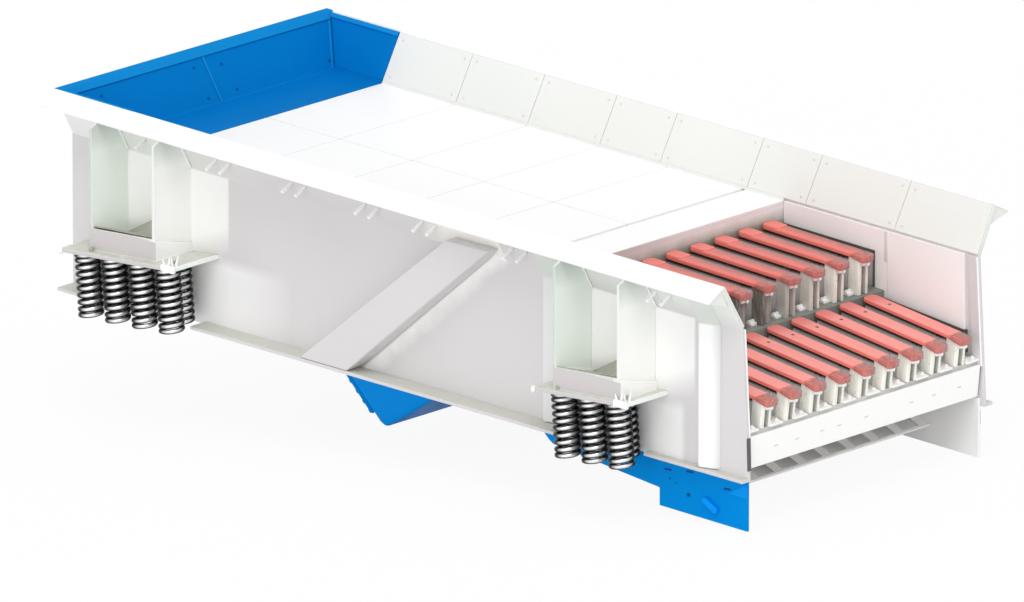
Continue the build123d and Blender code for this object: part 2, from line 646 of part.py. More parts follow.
def main():
    near = side_plate()
    save("side_plate_near", near)
    save("side_plate_far", mirrored(near))
    rim = rim_flange()
    save("rim_flange_near", rim)
    save("rim_flange_far", mirrored(rim))
    save("bottom_flanges", both(bottom_flange()))
    save("rear_wall", rear_wall())
    save("rear_wall_liner", rear_wall_liner())
    save("rear_side_liners", both([rear_side_liner()]))
    floor = block(LINER * WALL_LEN / FLARE_UP + 1, DECK_JOINTS[0] - DECK_GAP, -INNER_HALF + SIDE_GAP,
                  INNER_HALF - SIDE_GAP, -DECK_PLATE, 0)
    save("rear_floor_liner", floor)
    save("deck_plates", deck_plates())
    save("deck_pan", deck_frame())
    save("deck_ribs", deck_ribs())
    save("cross_tubes", cross_tubes())
    save("flare_liners_near", flare_liners())
    save("flare_liners_far", [mirrored(s) for s in flare_liners()])
    liners, strip = wall_liners()
    save("wall_liners", both(liners))
    save("front_edge_strips", both([strip]))
    caps, bodies = bars(REAR_BAR_X, REAR_BAR_TOP, REAR_BAR_TILT, REAR_BAR_DEEP)
    save("rear_bar_caps", caps)
    save("rear_bar_bodies", bodies)
    caps, bodies = bars(FRONT_BAR_X, FRONT_BAR_TOP, FRONT_BAR_TILT, FRONT_BAR_DEEP)
    save("front_bar_caps", caps)
    save("front_bar_bodies", bodies)
    rear, step, seat = bar_beams()
    save("deck_end_plate", rear)
    save("step_beam", step)
    save("seat_beam", seat)
    save("front_lip", front_lip())
    save("slotted_plate", slotted_plate())
    save("skirts", both([skirt()]))
    save("side_stiffeners", both(stiffeners()))
    save("exciter_bands", both([exciter_band()]))
    save("exciter_beam", ring_tube(*BEAM_CENTRE, BEAM_RADIUS, BEAM_WALL))
    save("exciter_hangers", exciter_hangers())
    save("exciter_housing", exciter_housing())
    coil = spring()
    master = [coil, hexagon(SPRING_OD / 2, 0, END_PLATE),
              hexagon(SPRING_OD / 2, SPRING_HIGH - END_PLATE, SPRING_HIGH)]
    for label, b in (("rear", REAR_BRACKET), ("front", FRONT_BRACKET)):
        part = bracket(b)
        save("spring_bracket_%s_near" % label, part)
        save("spring_bracket_%s_far" % label, mirrored(part))
        springs = spring_set(b, master)
        save("springs_%s_near" % label, springs)
        save("springs_%s_far" % label, [mirrored(s) for s in springs])


if __name__ == "__main__":
    main()
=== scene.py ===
"""Vibrating grizzly feeder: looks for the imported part, made piece by piece over its fixed frame."""

import fnmatch
from math import cos, hypot, pi, radians, sin, tan

import bpy
from bpy.props import FloatProperty, FloatVectorProperty, IntProperty, PointerProperty
from bpy.types import Operator, Panel, PropertyGroup
from mathutils import Matrix, Vector


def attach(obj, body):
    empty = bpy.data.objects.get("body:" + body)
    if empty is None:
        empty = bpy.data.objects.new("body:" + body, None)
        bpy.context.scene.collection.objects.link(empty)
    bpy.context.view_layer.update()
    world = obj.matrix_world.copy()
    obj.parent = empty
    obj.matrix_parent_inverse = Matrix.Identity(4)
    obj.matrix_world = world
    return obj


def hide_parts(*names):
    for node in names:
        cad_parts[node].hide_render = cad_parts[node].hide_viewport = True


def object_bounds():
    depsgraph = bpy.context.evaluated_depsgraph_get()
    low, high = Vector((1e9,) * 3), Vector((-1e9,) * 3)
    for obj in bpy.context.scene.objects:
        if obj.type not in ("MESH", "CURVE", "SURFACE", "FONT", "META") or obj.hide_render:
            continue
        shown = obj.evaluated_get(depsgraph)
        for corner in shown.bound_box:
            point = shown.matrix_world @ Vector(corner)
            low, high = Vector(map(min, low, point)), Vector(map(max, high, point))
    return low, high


bl_info = {
    "name": "Grizzly feeder finishes",
    "version": (1, 0, 0),
    "blender": (4, 5, 0),
    "location": "View3D > Sidebar > Feeder",
    "description": "Springs, bars, brackets, plates, bolts and paint of a vibrating grizzly feeder",
    "category": "Object",
}

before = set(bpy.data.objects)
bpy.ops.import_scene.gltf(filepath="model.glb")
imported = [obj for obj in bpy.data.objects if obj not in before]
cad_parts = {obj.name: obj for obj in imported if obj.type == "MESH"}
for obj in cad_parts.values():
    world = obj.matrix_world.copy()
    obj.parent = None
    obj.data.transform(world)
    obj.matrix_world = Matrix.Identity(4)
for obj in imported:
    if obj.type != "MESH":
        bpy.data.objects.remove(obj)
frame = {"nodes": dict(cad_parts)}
NODES = frame["nodes"]
CAD_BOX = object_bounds()

# The pan frame: X along the deck to the discharge, Y across with the near side negative, Z square to
# the deck. Lengths are metres. PAN takes a point of the pan frame to the part's own frame.
DATUM = Vector((3.0548348, -0.836, -0.6191394))
SLOPE = radians(5.0)
PAN = Matrix.Rotation(SLOPE, 4, "Y") @ Matrix.Translation(-DATUM)
MIRROR_Y = Matrix.Scale(-1, 4, (0, 1, 0))
ALONG_Y = (pi / 2, 0, 0)

INNER_HALF = 0.650
OUTER_HALF = INNER_HALF + 0.014
FLARE_OUT = 0.107
FLARE_UP = 0.195
FLARE_LEN = hypot(FLARE_OUT, FLARE_UP)
FLARE_ALONG = Vector((0, -FLARE_OUT / FLARE_LEN, FLARE_UP / FLARE_LEN))
FLARE_INWARD = Vector((0, FLARE_UP / FLARE_LEN, FLARE_OUT / FLARE_LEN))
FRONT_X = 3.527
FRONT_LEAN = 0.0612
DECK_START, DECK_END = 0.281, 2.489
LINER_JOINTS = (DECK_START, 0.690, 1.088, 1.485, 1.816, 2.288, 2.605, 3.082)

BAR_PITCH = 0.135
BAR_CENTRES = [(i - 4) * BAR_PITCH for i in range(9)]
BAR_SHORT = 0.026
CAP_THICK = 0.016
BAR_ROWS = {
    "rear": {"x": (2.496, 3.049), "top": -0.066, "tilt": 1.2, "deep": 0.150, "head": 0.085, "nose_at": 0.489,
             "worn": True},
    "front": {"x": (3.041, 3.579), "top": -0.241, "tilt": 6.0, "deep": 0.108, "head": 0.075, "nose_at": 0.471,
              "worn": False},
}

BRACKETS = {
    "rear": {"x": (0.045, 0.680), "z": -0.346, "deep": 0.254, "gussets": (0.164, 0.512),
             "springs": {"count": 4, "first": 0.144, "pitch": 0.150, "shift": -0.060, "rows": (0.746, 0.862)}},
    "front": {"x": (2.626, 3.133), "z": -0.349, "deep": 0.232, "gussets": (2.711, 3.055),
              "springs": {"count": 3, "first": 2.742, "pitch": 0.145, "shift": -0.082, "rows": (0.722, 0.836)}},
}
GUSSET = 0.012
BASE_PLATE = 0.016


def tone(red, green, blue):
    """A colour written as it looks on a screen, 0 to 255, as Blender's linear colour."""
    def linear(c):
        c /= 255.0
        return c / 12.92 if c <= 0.04045 else ((c + 0.055) / 1.055) ** 2.4
    return (linear(red), linear(green), linear(blue))


# --- Sizes and colours a user may change ---

def number(name, description, default, **kind):
    return FloatProperty(name=name, description=description, default=default, min=0.0, **kind)


def length(name, description, default):
    return number(name, description, default, unit="LENGTH")


def colour(name, description, *screen):
    return FloatVectorProperty(name=name, description=description, default=tone(*screen), min=0.0, max=1.0,
                               size=3, subtype="COLOR")


class FeederPlates(PropertyGroup):
    edge: length("Plate edge radius", "Radius of the dressed edges of cut plates", 0.0025)
    bolt: length("Liner bolt head", "Diameter of the bolt heads in the flare liners", 0.011)
    stud: length("Liner stud length", "How far the liner studs stand out of the flare", 0.060)
    stud_wide: length("Liner stud width", "Diameter of the liner studs", 0.016)
    weld: length("Weld width", "Width of the weld beads along the gussets", 0.009)


class FeederBars(PropertyGroup):
    cap_width: length("Cap width", "Width of the wear cap on each grizzly bar", 0.068)
    cap_thick: length("Cap thickness", "Thickness of the wear cap", CAP_THICK)
    nose_length: length("Nose length", "Length of the hooded nose of a cap", 0.064)
    nose_deep: length("Nose depth", "How far down the nose and its lug reach", 0.038)
    body_width: length("Bar width", "Width of the bar under its cap", 0.058)
    slot_width: length("Slot width", "Width of the slot in a bar's front end", 0.022)
    boss: length("Front boss", "Length of the thickened front end of a bar", 0.056)


class FeederSprings(PropertyGroup):
    outside: length("Outside diameter", "Outside diameter of a coil spring", 0.106)
    wire: length("Wire diameter", "Diameter of the spring wire", 0.0205)
    high: length("Height", "Height of a spring under load", 0.262)
    turns: FloatProperty(name="Turns", description="Turns of wire, closed ends included", default=9.7, min=4.0)
    sides: IntProperty(name="Wire sides", description="Faces round the wire", default=12, min=6)


class FeederPaints(PropertyGroup):
    white: colour("White paint", "Outside of the side plates", 217, 214, 215)
    bright: colour("Bright white", "Stiffeners, lip and welds", 252, 253, 252)
    deck: colour("Deck paint", "Deck and rim plates", 253, 253, 253)
    flare: colour("Flare liners", "Liner plates on the flares", 234, 235, 231)
    inner: colour("Inner walls", "Wear plates beside the bars", 255, 252, 251)
    bracket: colour("Brackets", "Gussets of the spring brackets", 243, 251, 243)
    # Painted shade on the upper faces of the ledges and base plates.
    dusty: colour("Painted ledge shade", "Upper faces of ledges and base plates", 205, 206, 196)
    blue: colour("Blue paint", "Rear walls and drive", 0, 119, 197)
    # Painted light: the lighter blue on the walls' top band, their up-facing faces and the wall strips.
    blue_edge: colour("Blue edge", "Lighter strip along the blue walls' top", 22, 138, 211)
    red: colour("Red caps", "Wear caps of the bars", 251, 161, 153)
    red_nose: colour("Worn nose", "Rubbed noses of the wear caps", 206, 132, 124)
    bar: colour("Bar paint", "Bars' front ends under their caps", 250, 250, 241)
    dark: colour("Dark steel", "Beams and bars where stone runs", 148, 152, 144)
    spring: colour("Spring steel", "Wire of the coil springs", 236, 236, 236)


class FeederStage(PropertyGroup):
    sky: number("Sky", "Strength of the even light", 0.74)
    sun: number("Sun", "Strength of the soft sun", 1.0)
    fill: number("Fill", "Strength of the soft light from the near side", 0.80)
    sun_spread: number("Sun spread", "Angle of the soft lights", radians(30), subtype="ANGLE")
    lens: number("Lens", "Focal length of the camera", 811.0, unit="CAMERA")


SETTINGS = {"feeder_plates": FeederPlates, "feeder_bars": FeederBars, "feeder_springs": FeederSprings,
            "feeder_paints": FeederPaints, "feeder_stage": FeederStage}


# --- Modelling helpers ---

def pick(*pieces):
    """Selects these pieces alone, the first one active."""
    bpy.ops.object.select_all(action="DESELECT")
    for piece in pieces:
        piece.select_set(True)
    bpy.context.view_layer.objects.active = pieces[0]


def edit(piece):
    """Opens a piece's mesh with all its faces selected."""
    pick(piece)
    bpy.ops.object.mode_set(mode="EDIT")
    bpy.ops.mesh.select_mode(type="FACE")
    bpy.ops.mesh.select_all(action="SELECT")


def leave():
    bpy.ops.object.mode_set(mode="OBJECT")


def leave_facing_out():
    """Closes the open mesh with its faces turned outwards."""
    bpy.ops.mesh.select_all(action="SELECT")
    bpy.ops.mesh.normals_make_consistent(inside=False)
    leave()


def extrude(vector):
    bpy.ops.mesh.extrude_region_move(TRANSFORM_OT_translate={"value": tuple(vector)})


def slab(points, vector):
    """A flat outline, its corners anywhere in space, extruded to a plate or block."""
    bpy.ops.mesh.primitive_circle_add(vertices=len(points), radius=1.0, fill_type="NGON")
    piece = bpy.context.object
    for vertex, point in zip(piece.data.vertices, points):
        vertex.co = point
    edit(piece)
    extrude(vector)
    leave_facing_out()
    return piece


def plate_xz(points, y0, y1):
    return slab([(x, y0, z) for x, z in points], (0, y1 - y0, 0))


def plate_yz(points, x0, x1):
    return slab([(x0, y, z) for y, z in points], (x1 - x0, 0, 0))


def plate_xy(points, z0, z1):
    return slab([(x, y, z0) for x, y in points], (0, 0, z1 - z0))


def block(x0, x1, y0, y1, z0, z1):
    return plate_xy([(x0, y0), (x1, y0), (x1, y1), (x0, y1)], z0, z1)


def oblong(long, wide, steps=5):
    """Outline of a slot with round ends, along X about the origin."""
    half, reach = wide / 2, long / 2 - wide / 2
    turn = [pi * i / steps for i in range(steps + 1)]
    return [(reach + half * sin(a), -half * cos(a)) for a in turn] + \
           [(-reach - half * sin(a), half * cos(a)) for a in turn]


def round_bar(radius, long, sides, place, turn=(0, 0, 0)):
    bpy.ops.mesh.primitive_cylinder_add(vertices=sides, radius=radius, depth=long, location=place, rotation=turn)
    bpy.ops.object.transform_apply(location=True, rotation=True, scale=True)
    return bpy.context.object


HEAD_STRAIGHT, HEAD_CROWN = 0.75, 0.78


def bolt_head(radius, high, sides=6):
    """A hexagon head with its top edge taken off, standing on Z = 0: straight for most of its height, then
    drawn in to a narrower crown."""
    bpy.ops.mesh.primitive_circle_add(vertices=sides, radius=radius, fill_type="NGON")
    piece = bpy.context.object
    edit(piece)
    extrude((0, 0, high * HEAD_STRAIGHT))
    extrude((0, 0, high * (1 - HEAD_STRAIGHT)))
    bpy.ops.transform.resize(value=(HEAD_CROWN, HEAD_CROWN, 1.0))
    leave_facing_out()
    return piece


def moved(x, y, z, turn=0.0):
    """A matrix that turns a piece about Y by so many degrees, then moves it."""
    return Matrix.Translation((x, y, z)) @ Matrix.Rotation(radians(turn), 4, "Y")


def facing(normal, place):
    """A matrix that stands a piece made on Z = 0 at a place, square to a surface."""
    return Matrix.Translation(place) @ Vector(normal).to_track_quat("Z", "Y").to_matrix().to_4x4()


def set_at(piece, matrix):
    piece.data.transform(matrix)
    return piece


def modified(piece, kind, **settings):
    """The piece with a modifier applied."""
    pick(piece)
    modifier = piece.modifiers.new("made", kind)
    for name, value in settings.items():
        setattr(modifier, name, value)
    bpy.ops.object.modifier_apply(modifier=modifier.name)
    return piece


def rounded(piece, radius, segments=2, angle=30.0):
    """Rounds every sharp edge."""
    return modified(piece, "BEVEL", width=radius, segments=segments, limit_method="ANGLE",
                    angle_limit=radians(angle), use_clamp_overlap=True)


def smooth(piece, angle=40.0):
    pick(piece)
    bpy.ops.object.shade_smooth_by_angle(angle=radians(angle))
    return piece


def joined(pieces):
    pick(*pieces)
    if len(pieces) > 1:
        bpy.ops.object.join()
    return pieces[0]


def copied(piece, matrix):
    """A copy with its own mesh, moved by the matrix; a mirrored one has its faces turned outwards."""
    other = piece.copy()
    other.data = piece.data.copy()
    bpy.context.collection.objects.link(other)
    other.data.transform(matrix)
    if matrix.determinant() < 0:
        edit(other)
        bpy.ops.mesh.flip_normals()
        leave()
    return other


def repeated(master, matrices):
    """The modelled piece once at each place; the master itself goes."""
    copies = [copied(master, m) for m in matrices]
    bpy.data.objects.remove(master)
    return joined(copies)


def with_twin(pieces):
    """The near side's pieces and their mirror images on the far side, as one piece."""
    near = joined(pieces)
    return joined([near, copied(near, MIRROR_Y)])


def coloured(piece, *keys):
    piece.data.materials.clear()
    for key in keys:
        piece.data.materials.append(finish(key))
    return piece


def sorted_faces(piece, keys, choose, in_pan=False):
    """Gives each face the finish whose number choose(centre, normal) says; the centre is in the pan frame."""
    coloured(piece, *keys)
    to_pan = Matrix() if in_pan else PAN.inverted()
    for polygon in piece.data.polygons:
        polygon.material_index = int(choose(to_pan @ polygon.center, polygon.normal))
    return piece


def settled(piece, name, key=None, stands_for=(), in_pan=True):
    """Puts the place in the mesh, names the piece and hands it to the part's frame."""
    pick(piece)
    if in_pan:
        piece.matrix_world = PAN @ piece.matrix_world
    bpy.ops.object.transform_apply(location=True, rotation=True, scale=True)
    piece.name = piece.data.name = name
    if key:
        coloured(piece, key)
    if stands_for:
        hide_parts(*stands_for)
    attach(piece, "root")


def trim(pieces, name, key, radius=0.0, soft=False, twin=True):
    """Small pieces as one, on both sides of the trough unless told otherwise."""
    piece = with_twin(pieces) if twin else joined(pieces)
    if radius:
        rounded(piece, radius)
    if radius or soft:
        smooth(piece)
    settled(piece, name, key)


def dress(node, radius, keys=(), choose=None, segments=2, ending="_dressed"):
    """Puts a copy with merged triangles and dressed edges in a CAD node's place. It keeps the node's
    finish, or its faces are sorted between several."""
    piece = copied(NODES[node], Matrix())
    for key in list(piece.keys()):
        del piece[key]
    piece.parent = None
    edit(piece)
    bpy.ops.mesh.remove_doubles(threshold=0.00005)
    bpy.ops.mesh.dissolve_limited(angle_limit=radians(1.0))
    leave()
    smooth(rounded(piece, radius, segments))
    modified(piece, "WEIGHTED_NORMAL", keep_sharp=True, weight=90)
    if keys:
        sorted_faces(piece, keys, choose)
    settled(piece, node + ending, stands_for=(node,), in_pan=False)


def both(stem):
    return [stem + "_near", stem + "_far"]


# --- Shader nodes ---

class Wire:
    """A value on its way through a material's nodes, so that shades can be written as sums."""

    def __init__(self, made, output=0):
        self.socket = made.outputs[output]
        self.tree = self.socket.id_data

    def by(self, operation, other=0.0):
        return Wire(add_node(self.tree, "Math", {0: self, 1: other}, operation=operation))

    def __add__(self, other):
        return self.by("ADD", other)

    def __sub__(self, other):
        return self.by("SUBTRACT", other)

    def __rsub__(self, other):
        return Wire(add_node(self.tree, "Math", {0: other, 1: self}, operation="SUBTRACT"))

    def __mul__(self, other):
        return self.by("MULTIPLY", other)

    def __abs__(self):
        return self.by("ABSOLUTE")


def feed(socket, value):
    """Links a wire to a node's input, or sets the input."""
    if isinstance(value, Wire):
        value.tree.links.new(value.socket, socket)
    else:
        socket.default_value = (*value, 1.0) if socket.type == "RGBA" else value


def add_node(tree, kind, inputs, **settings):
    node = tree.nodes.new("ShaderNode" + kind)
    for name, value in settings.items():
        setattr(node, name, value)
    for key, value in inputs.items():
        feed(node.inputs[key], value)
    return node


def fresh_material(name):
    """The shader of a new material, and the object's coordinates."""
    material = bpy.data.materials.new(name + "_finish")
    material.use_nodes = True
    tree = material.node_tree
    return tree.nodes["Principled BSDF"], Wire(tree.nodes.new("ShaderNodeTexCoord"), "Object")


def finish(name):
    return bpy.data.materials[name + "_finish"]


def placed(at, scale=(1, 1, 1), location=(0, 0, 0), rotation=(0, 0, 0)):
    return Wire(add_node(at.tree, "Mapping", {"Vector": at, "Scale": scale, "Location": location,
                                              "Rotation": rotation}))


def noise(at, scale, detail=4.0, rough=0.5):
    return Wire(add_node(at.tree, "TexNoise", {"Vector": at, "Scale": scale, "Detail": detail,
                                               "Roughness": rough}))


def spread(value, low, high, out_low=0.0, out_high=1.0):
    """The value's range from low to high, clamped, as out_low to out_high."""
    return Wire(add_node(value.tree, "MapRange", {"Value": value, "From Min": low, "From Max": high,
                                                  "To Min": out_low, "To Max": out_high}, clamp=True))


def ramp(value, low, high):
    """0 below low and 1 above high; the other way round where high is under low."""
    return spread(value, low, high) if low < high else spread(value, high, low, 1.0, 0.0)


def span(value, low, high, soft_low=0.004, soft_high=0.004):
    """1 between low and high, with soft ends."""
    return ramp(value, low - soft_low, low) * ramp(value, high + soft_high, high)


def blended(factor, first, second, how="MIX"):
    """The second colour over the first; 0, 6, 7 and 2 are the mix node's sockets for colours."""
    tree = next(v.tree for v in (factor, second) if isinstance(v, Wire))
    return Wire(add_node(tree, "Mix", {0: factor, 6: first, 7: second}, data_type="RGBA", blend_type=how), 2)


def layered(shade, *layers):
    """Each layer's colour laid over the shade where its mask says so, one after another."""
    for mask, layer in layers:
        shade = blended(mask, shade, layer)
    return shade


def tint(base, amount):
    return tuple(c * amount for c in base)


def axes_of(vector):
    split = add_node(vector.tree, "SeparateXYZ", {"Vector": vector})
    return [Wire(split, axis) for axis in range(3)]


def pan_place(at):
    """X, Y and Z of the pan frame from the part's own coordinates."""
    return axes_of(placed(at, location=DATUM, rotation=(0, -SLOPE, 0)))


def face_turn(at):
    """How far a face looks along X, across Y and up Z, each 0 to 1 (Z signed)."""
    x, y, z = axes_of(Wire(at.socket.node, "Normal"))
    return abs(x), abs(y), z


def coat(shader, shade, rough, grain, strength, high, gloss=0.5, metal=0.0):
    """Links a shader's colour, roughness and bumps."""
    bump = Wire(add_node(grain.tree, "Bump", {"Height": grain, "Strength": strength, "Distance": high}))
    for name, value in (("Base Color", shade), ("Roughness", rough), ("Specular IOR Level", gloss),
                        ("Metallic", metal), ("Normal", bump)):
        feed(shader.inputs[name], value)


# --- Finishes ---

def paint(name, base, soft=0.965, dust=0.95, rough=(0.36, 0.52), seed=0.0, gloss=0.35, over=None):
    """Sprayed paint on rolled plate: slow shade changes, a dusting of fine specks, orange peel."""
    shader, at = fresh_material(name)
    place = placed(at, location=(seed, seed * 0.7, seed * 1.3))
    streak = placed(at, scale=(7.0, 7.0, 0.55), location=(seed, 0, 0))
    shade = layered(
        (1, 1, 1),
        (spread(noise(place, 1.6, 3.0), 0.38, 0.66), (soft,) * 3),
        (spread(noise(streak, 2.4, 5.0, 0.6), 0.60, 0.82, 0.0, 0.45), (dust,) * 3),
        (spread(noise(place, 46.0, 6.0, 0.62), 0.60, 0.74, 0.0, 0.35), (dust * 0.96,) * 3))
    ground = over(at, base) if over else base
    coat(shader, blended(1.0, ground, shade, "MULTIPLY"), spread(noise(place, 9.0), 0.3, 0.7, *rough),
         noise(place, 260.0, 2.0), 0.08, 0.0005, gloss)


# The gussets' faces, where the painted light beside each starts; how far it reaches; how its lower edge slopes.
GUSSET_FACES = (0.176, 0.524, 2.723, 3.067)
PAINTED_LIGHT_REACH = 0.205
PAINTED_LIGHT_SLOPE = 0.42
BAND_FOOT = (1.469, -0.620)
BAND_RUN = Vector((0.781, 0.672)).normalized()


def side_ground(at, base):
    """Side plates: painted light beside each gusset, where the base plates and springs shade the plate, and on the
    flare at 1.96 to 2.26 and left of the rear bracket; a greenish painted shade on the flare under the rim beside
    the brackets; and a ragged white stripe along the foot of each drive band."""
    x, _, z = pan_place(at)
    flare = ramp(z, -0.010, -0.004)
    # The white of the painted light, also laid in the stripe at each drive band's foot.
    painted_light_white = tone(255, 255, 253)
    # Greenish painted shade under the rim by the brackets; painted light on the flare at 1.96-2.26 and left of the
    # rear bracket.
    shade = layered(
        base,
        (flare * ramp(x, 0.156, 0.160) * ramp(x, 0.95, 0.30), tone(231, 235, 229)),
        (flare * ramp(x, 2.45, 2.60) * ramp(z, -0.02, 0.06), tone(228, 232, 227)),
        (flare * span(x, 1.96, 2.26, 0.16, 0.005), tone(246, 244, 239)),
        (ramp(z, -0.012, -0.006) * ramp(x, 0.160, 0.156), tone(236, 236, 239)))
    # Painted light: a white zone beside each gusset below the bend, fading forwards.
    for start in GUSSET_FACES:
        edge = -0.36 - PAINTED_LIGHT_SLOPE * start
        fade = spread(x, start, start + PAINTED_LIGHT_REACH, 1.0, 0.80) * span(x, start, start + PAINTED_LIGHT_REACH, 0.001, 0.010)
        low = ramp(z - x * PAINTED_LIGHT_SLOPE, edge - 0.05, edge + 0.07)
        shade = blended(fade * low * ramp(z, -0.003, -0.012), shade, painted_light_white)
    # A ragged white stripe along the foot of each drive band.
    across = (x - BAND_FOOT[0]) * BAND_RUN[1] - (z - BAND_FOOT[1]) * BAND_RUN[0]
    ragged = across + (noise(at, 16.0) - 0.5) * 0.05
    bead = ramp(across, -0.001, 0.001) * ramp(ragged, 0.068, 0.006) * ramp(z, 0.02, -0.01)
    return layered(
        shade,
        # Painted light where the base plates and springs shade the plate.
        (span(x, 0.50, 0.74, 0.03, 0.34) * ramp(z, -0.33, -0.38), tone(250, 249, 249)),
        (span(x, 2.96, 3.20, 0.03, 0.03) * ramp(z, -0.35, -0.40) * 0.7, painted_light_white),
        (bead * 0.9, painted_light_white))


def painted_ledge_shade(at, scale, least):
    """Painted shade on faces that look up, in patches, for the shade under the flare's overhang:
    its mask and its colour.
    """
    patches = spread(noise(at, scale), 0.3, 0.6, least, 1.0)
    return ramp(face_turn(at)[2], 0.75, 0.95) * patches, tuple(bpy.context.scene.feeder_paints.dusty)


def ledge_ground(at, base):
    return layered(base, painted_ledge_shade(at, 18.0, 0.8))


def bracket_ground(at, base):
    """Brackets: greenish gussets with painted light on their lower parts, the front one of each pair lighter still
    with a curved painted reflection of the base plate at its foot; painted shade on the rosier webs, on the
    gussets' outer edges and on the gussets' tops under the rim, and painted shade on what faces up."""
    along, across, _ = face_turn(at)
    gusset, web = ramp(along, 0.6, 0.9), ramp(across, 0.6, 0.9)
    x, y, z = pan_place(at)
    lower = ramp(z, 0.0, -0.20)
    second = span(x, 0.50, 0.56) + span(x, 3.04, 3.10)
    # The front gusset of each pair in painted light, lighter towards its foot.
    white = blended(lower, tone(249, 251, 247), tone(255, 255, 252))
    arc = (abs(y) - OUTER_HALF).by("POWER", 2.0) * 1.6 - 0.345
    # Painted shade on the gussets' outer edges, lighter on the front gusset.
    rim = blended(second, tone(206, 213, 206), tone(234, 238, 233))
    return layered(
        base,
        # Painted light on the lower parts; the curved painted reflection of the base plate; painted shade on webs and
        # tops.
        (lower, tone(248, 255, 248)),
        (second, white),
        (second * ramp(z - arc, 0.006, -0.006) * gusset, tone(250, 249, 249)),
        (web * ramp(z, -0.262, -0.270), tone(207, 202, 202)),
        (web * ramp(z, -0.270, -0.262), rim),
        (ramp(z, 0.02, 0.13) * gusset, tone(206, 214, 208)),
        painted_ledge_shade(at, 22.0, 0.72))


def stiffener_ground(at, base):
    """Painted shade: bright up the middle of the front stiffener below the bend, darker towards its front
    side, a little darker behind its middle and on the rear stiffener, and greenish in the rim's lee above the bend.
    """
    x, _, z = pan_place(at)
    return layered(
        base,
        (ramp(x, 3.375, 3.418), tone(220, 219, 221)),
        (ramp(x, 3.336, 3.318), tone(228, 228, 229)),
        (ramp(z, -0.012, -0.004), tone(216, 220, 215)))


def slot_wall_shade(at, base):
    """Inside the discharge slots: painted shade, grey at the top and lightening downwards."""
    return layered(base, (ramp(pan_place(at)[2], -0.690, -0.760), tone(250, 249, 246)))


def end_wall_ground(at, base):
    """The wall behind the rear bars: plain at the top, painted shade that darkens to olive, with a ragged edge,
    down towards the bars, and darker towards the near side.
    """
    _, y, z = pan_place(at)
    z = z + (noise(at, 9.0) - 0.5) * 0.05
    return layered(
        base,
        (ramp(y, 0.10, -0.62), tone(160, 151, 147)),
        (ramp(z, -0.025, -0.075), tone(186, 184, 172)),
        (ramp(z, -0.065, -0.105), tone(132, 132, 120)))


# Each paint: its colour, or the setting that has it, and how it differs from the usual.
PAINTS = {
    "side_plate": dict(base="white", over=side_ground),
    "white_paint": dict(base="white", seed=4.9),
    "ledge": dict(base="white", seed=9.3, over=ledge_ground),
    "bright_white": dict(base="bright", soft=0.985, dust=0.965, seed=0.8),
    "stiffener": dict(base="bright", soft=0.985, dust=0.97, seed=1.2, over=stiffener_ground),
    "deck_paint": dict(base="deck", soft=0.985, dust=0.97, rough=(0.4, 0.55), seed=3.1),
    "flare_liner": dict(base="flare", soft=0.98, dust=0.965, seed=7.7),
    "inner_wall": dict(base="inner", seed=2.3),
    "end_wall": dict(base=tone(247, 245, 245), seed=2.9, over=end_wall_ground),
    "bracket_paint": dict(base="bracket", seed=5.9, over=bracket_ground),
    # Painted shade: the olive of the bracket pockets, also on the base plates' bolts.
    "olive_dust": dict(base=tone(172, 173, 160), soft=0.92, dust=0.9, seed=6.6),
    "blue_paint": dict(base="blue", soft=0.93, dust=0.90, rough=(0.4, 0.55), seed=1.7, gloss=0.02),
    "blue_skirt": dict(base=tone(0, 140, 222), soft=0.93, dust=0.90, seed=3.7, gloss=0.02),
    "blue_drive": dict(base=tone(0, 150, 242), soft=0.95, dust=0.93, seed=2.7, gloss=0.05),
    "blue_edge": dict(base="blue_edge", soft=0.96, dust=0.93, seed=4.4, gloss=0.0),
    "blue_shade": dict(base=tone(0, 78, 148), soft=0.9, dust=0.85, seed=5.2, gloss=0.08),
    "skirt_inner": dict(base=tone(248, 248, 247), seed=8.8),
    "dark_steel": dict(base="dark", soft=0.78, dust=0.6, rough=(0.45, 0.7), seed=6.1),
    "seat_beam": dict(base=tone(216, 214, 210), soft=0.82, dust=0.55, rough=(0.45, 0.7), seed=6.9),
    "rubber_seal": dict(base=tone(96, 96, 93), soft=0.85, dust=0.7, rough=(0.6, 0.8)),
    "liner_bolt": dict(base=tone(222, 223, 219), soft=0.94, dust=0.9, seed=2.2),
    "lip": dict(base=tone(255, 255, 254), soft=0.99, dust=0.985, seed=1.9),
    "slot": dict(base=tone(160, 158, 153), soft=0.9, dust=0.85, seed=2.6, over=slot_wall_shade),
}


def spring_finish(name, base):
    """Oil-hardened wire with patches of scale, and painted shade, near black, where the wire turns away from the view
    and on its undersides.
    """
    shader, at = fresh_material(name)
    turned = Wire(add_node(at.tree, "LayerWeight", {"Blend": 0.5}), "Facing")
    scale = spread(noise(at, 38.0, 5.0, 0.6), 0.44, 0.66)
    wire = layered(
        base,
        (scale * 0.35, tint(base, 0.5)),
        (spread(turned, 0.10, 0.42), tone(34, 34, 36)),
        (ramp(face_turn(at)[2], -0.15, -0.70) * 0.8, tone(38, 38, 40)))
    coat(shader, wire, spread(scale, 0.0, 1.0, 0.28, 0.45), noise(at, 90.0, 3.0), 0.12, 0.0006, metal=0.7)


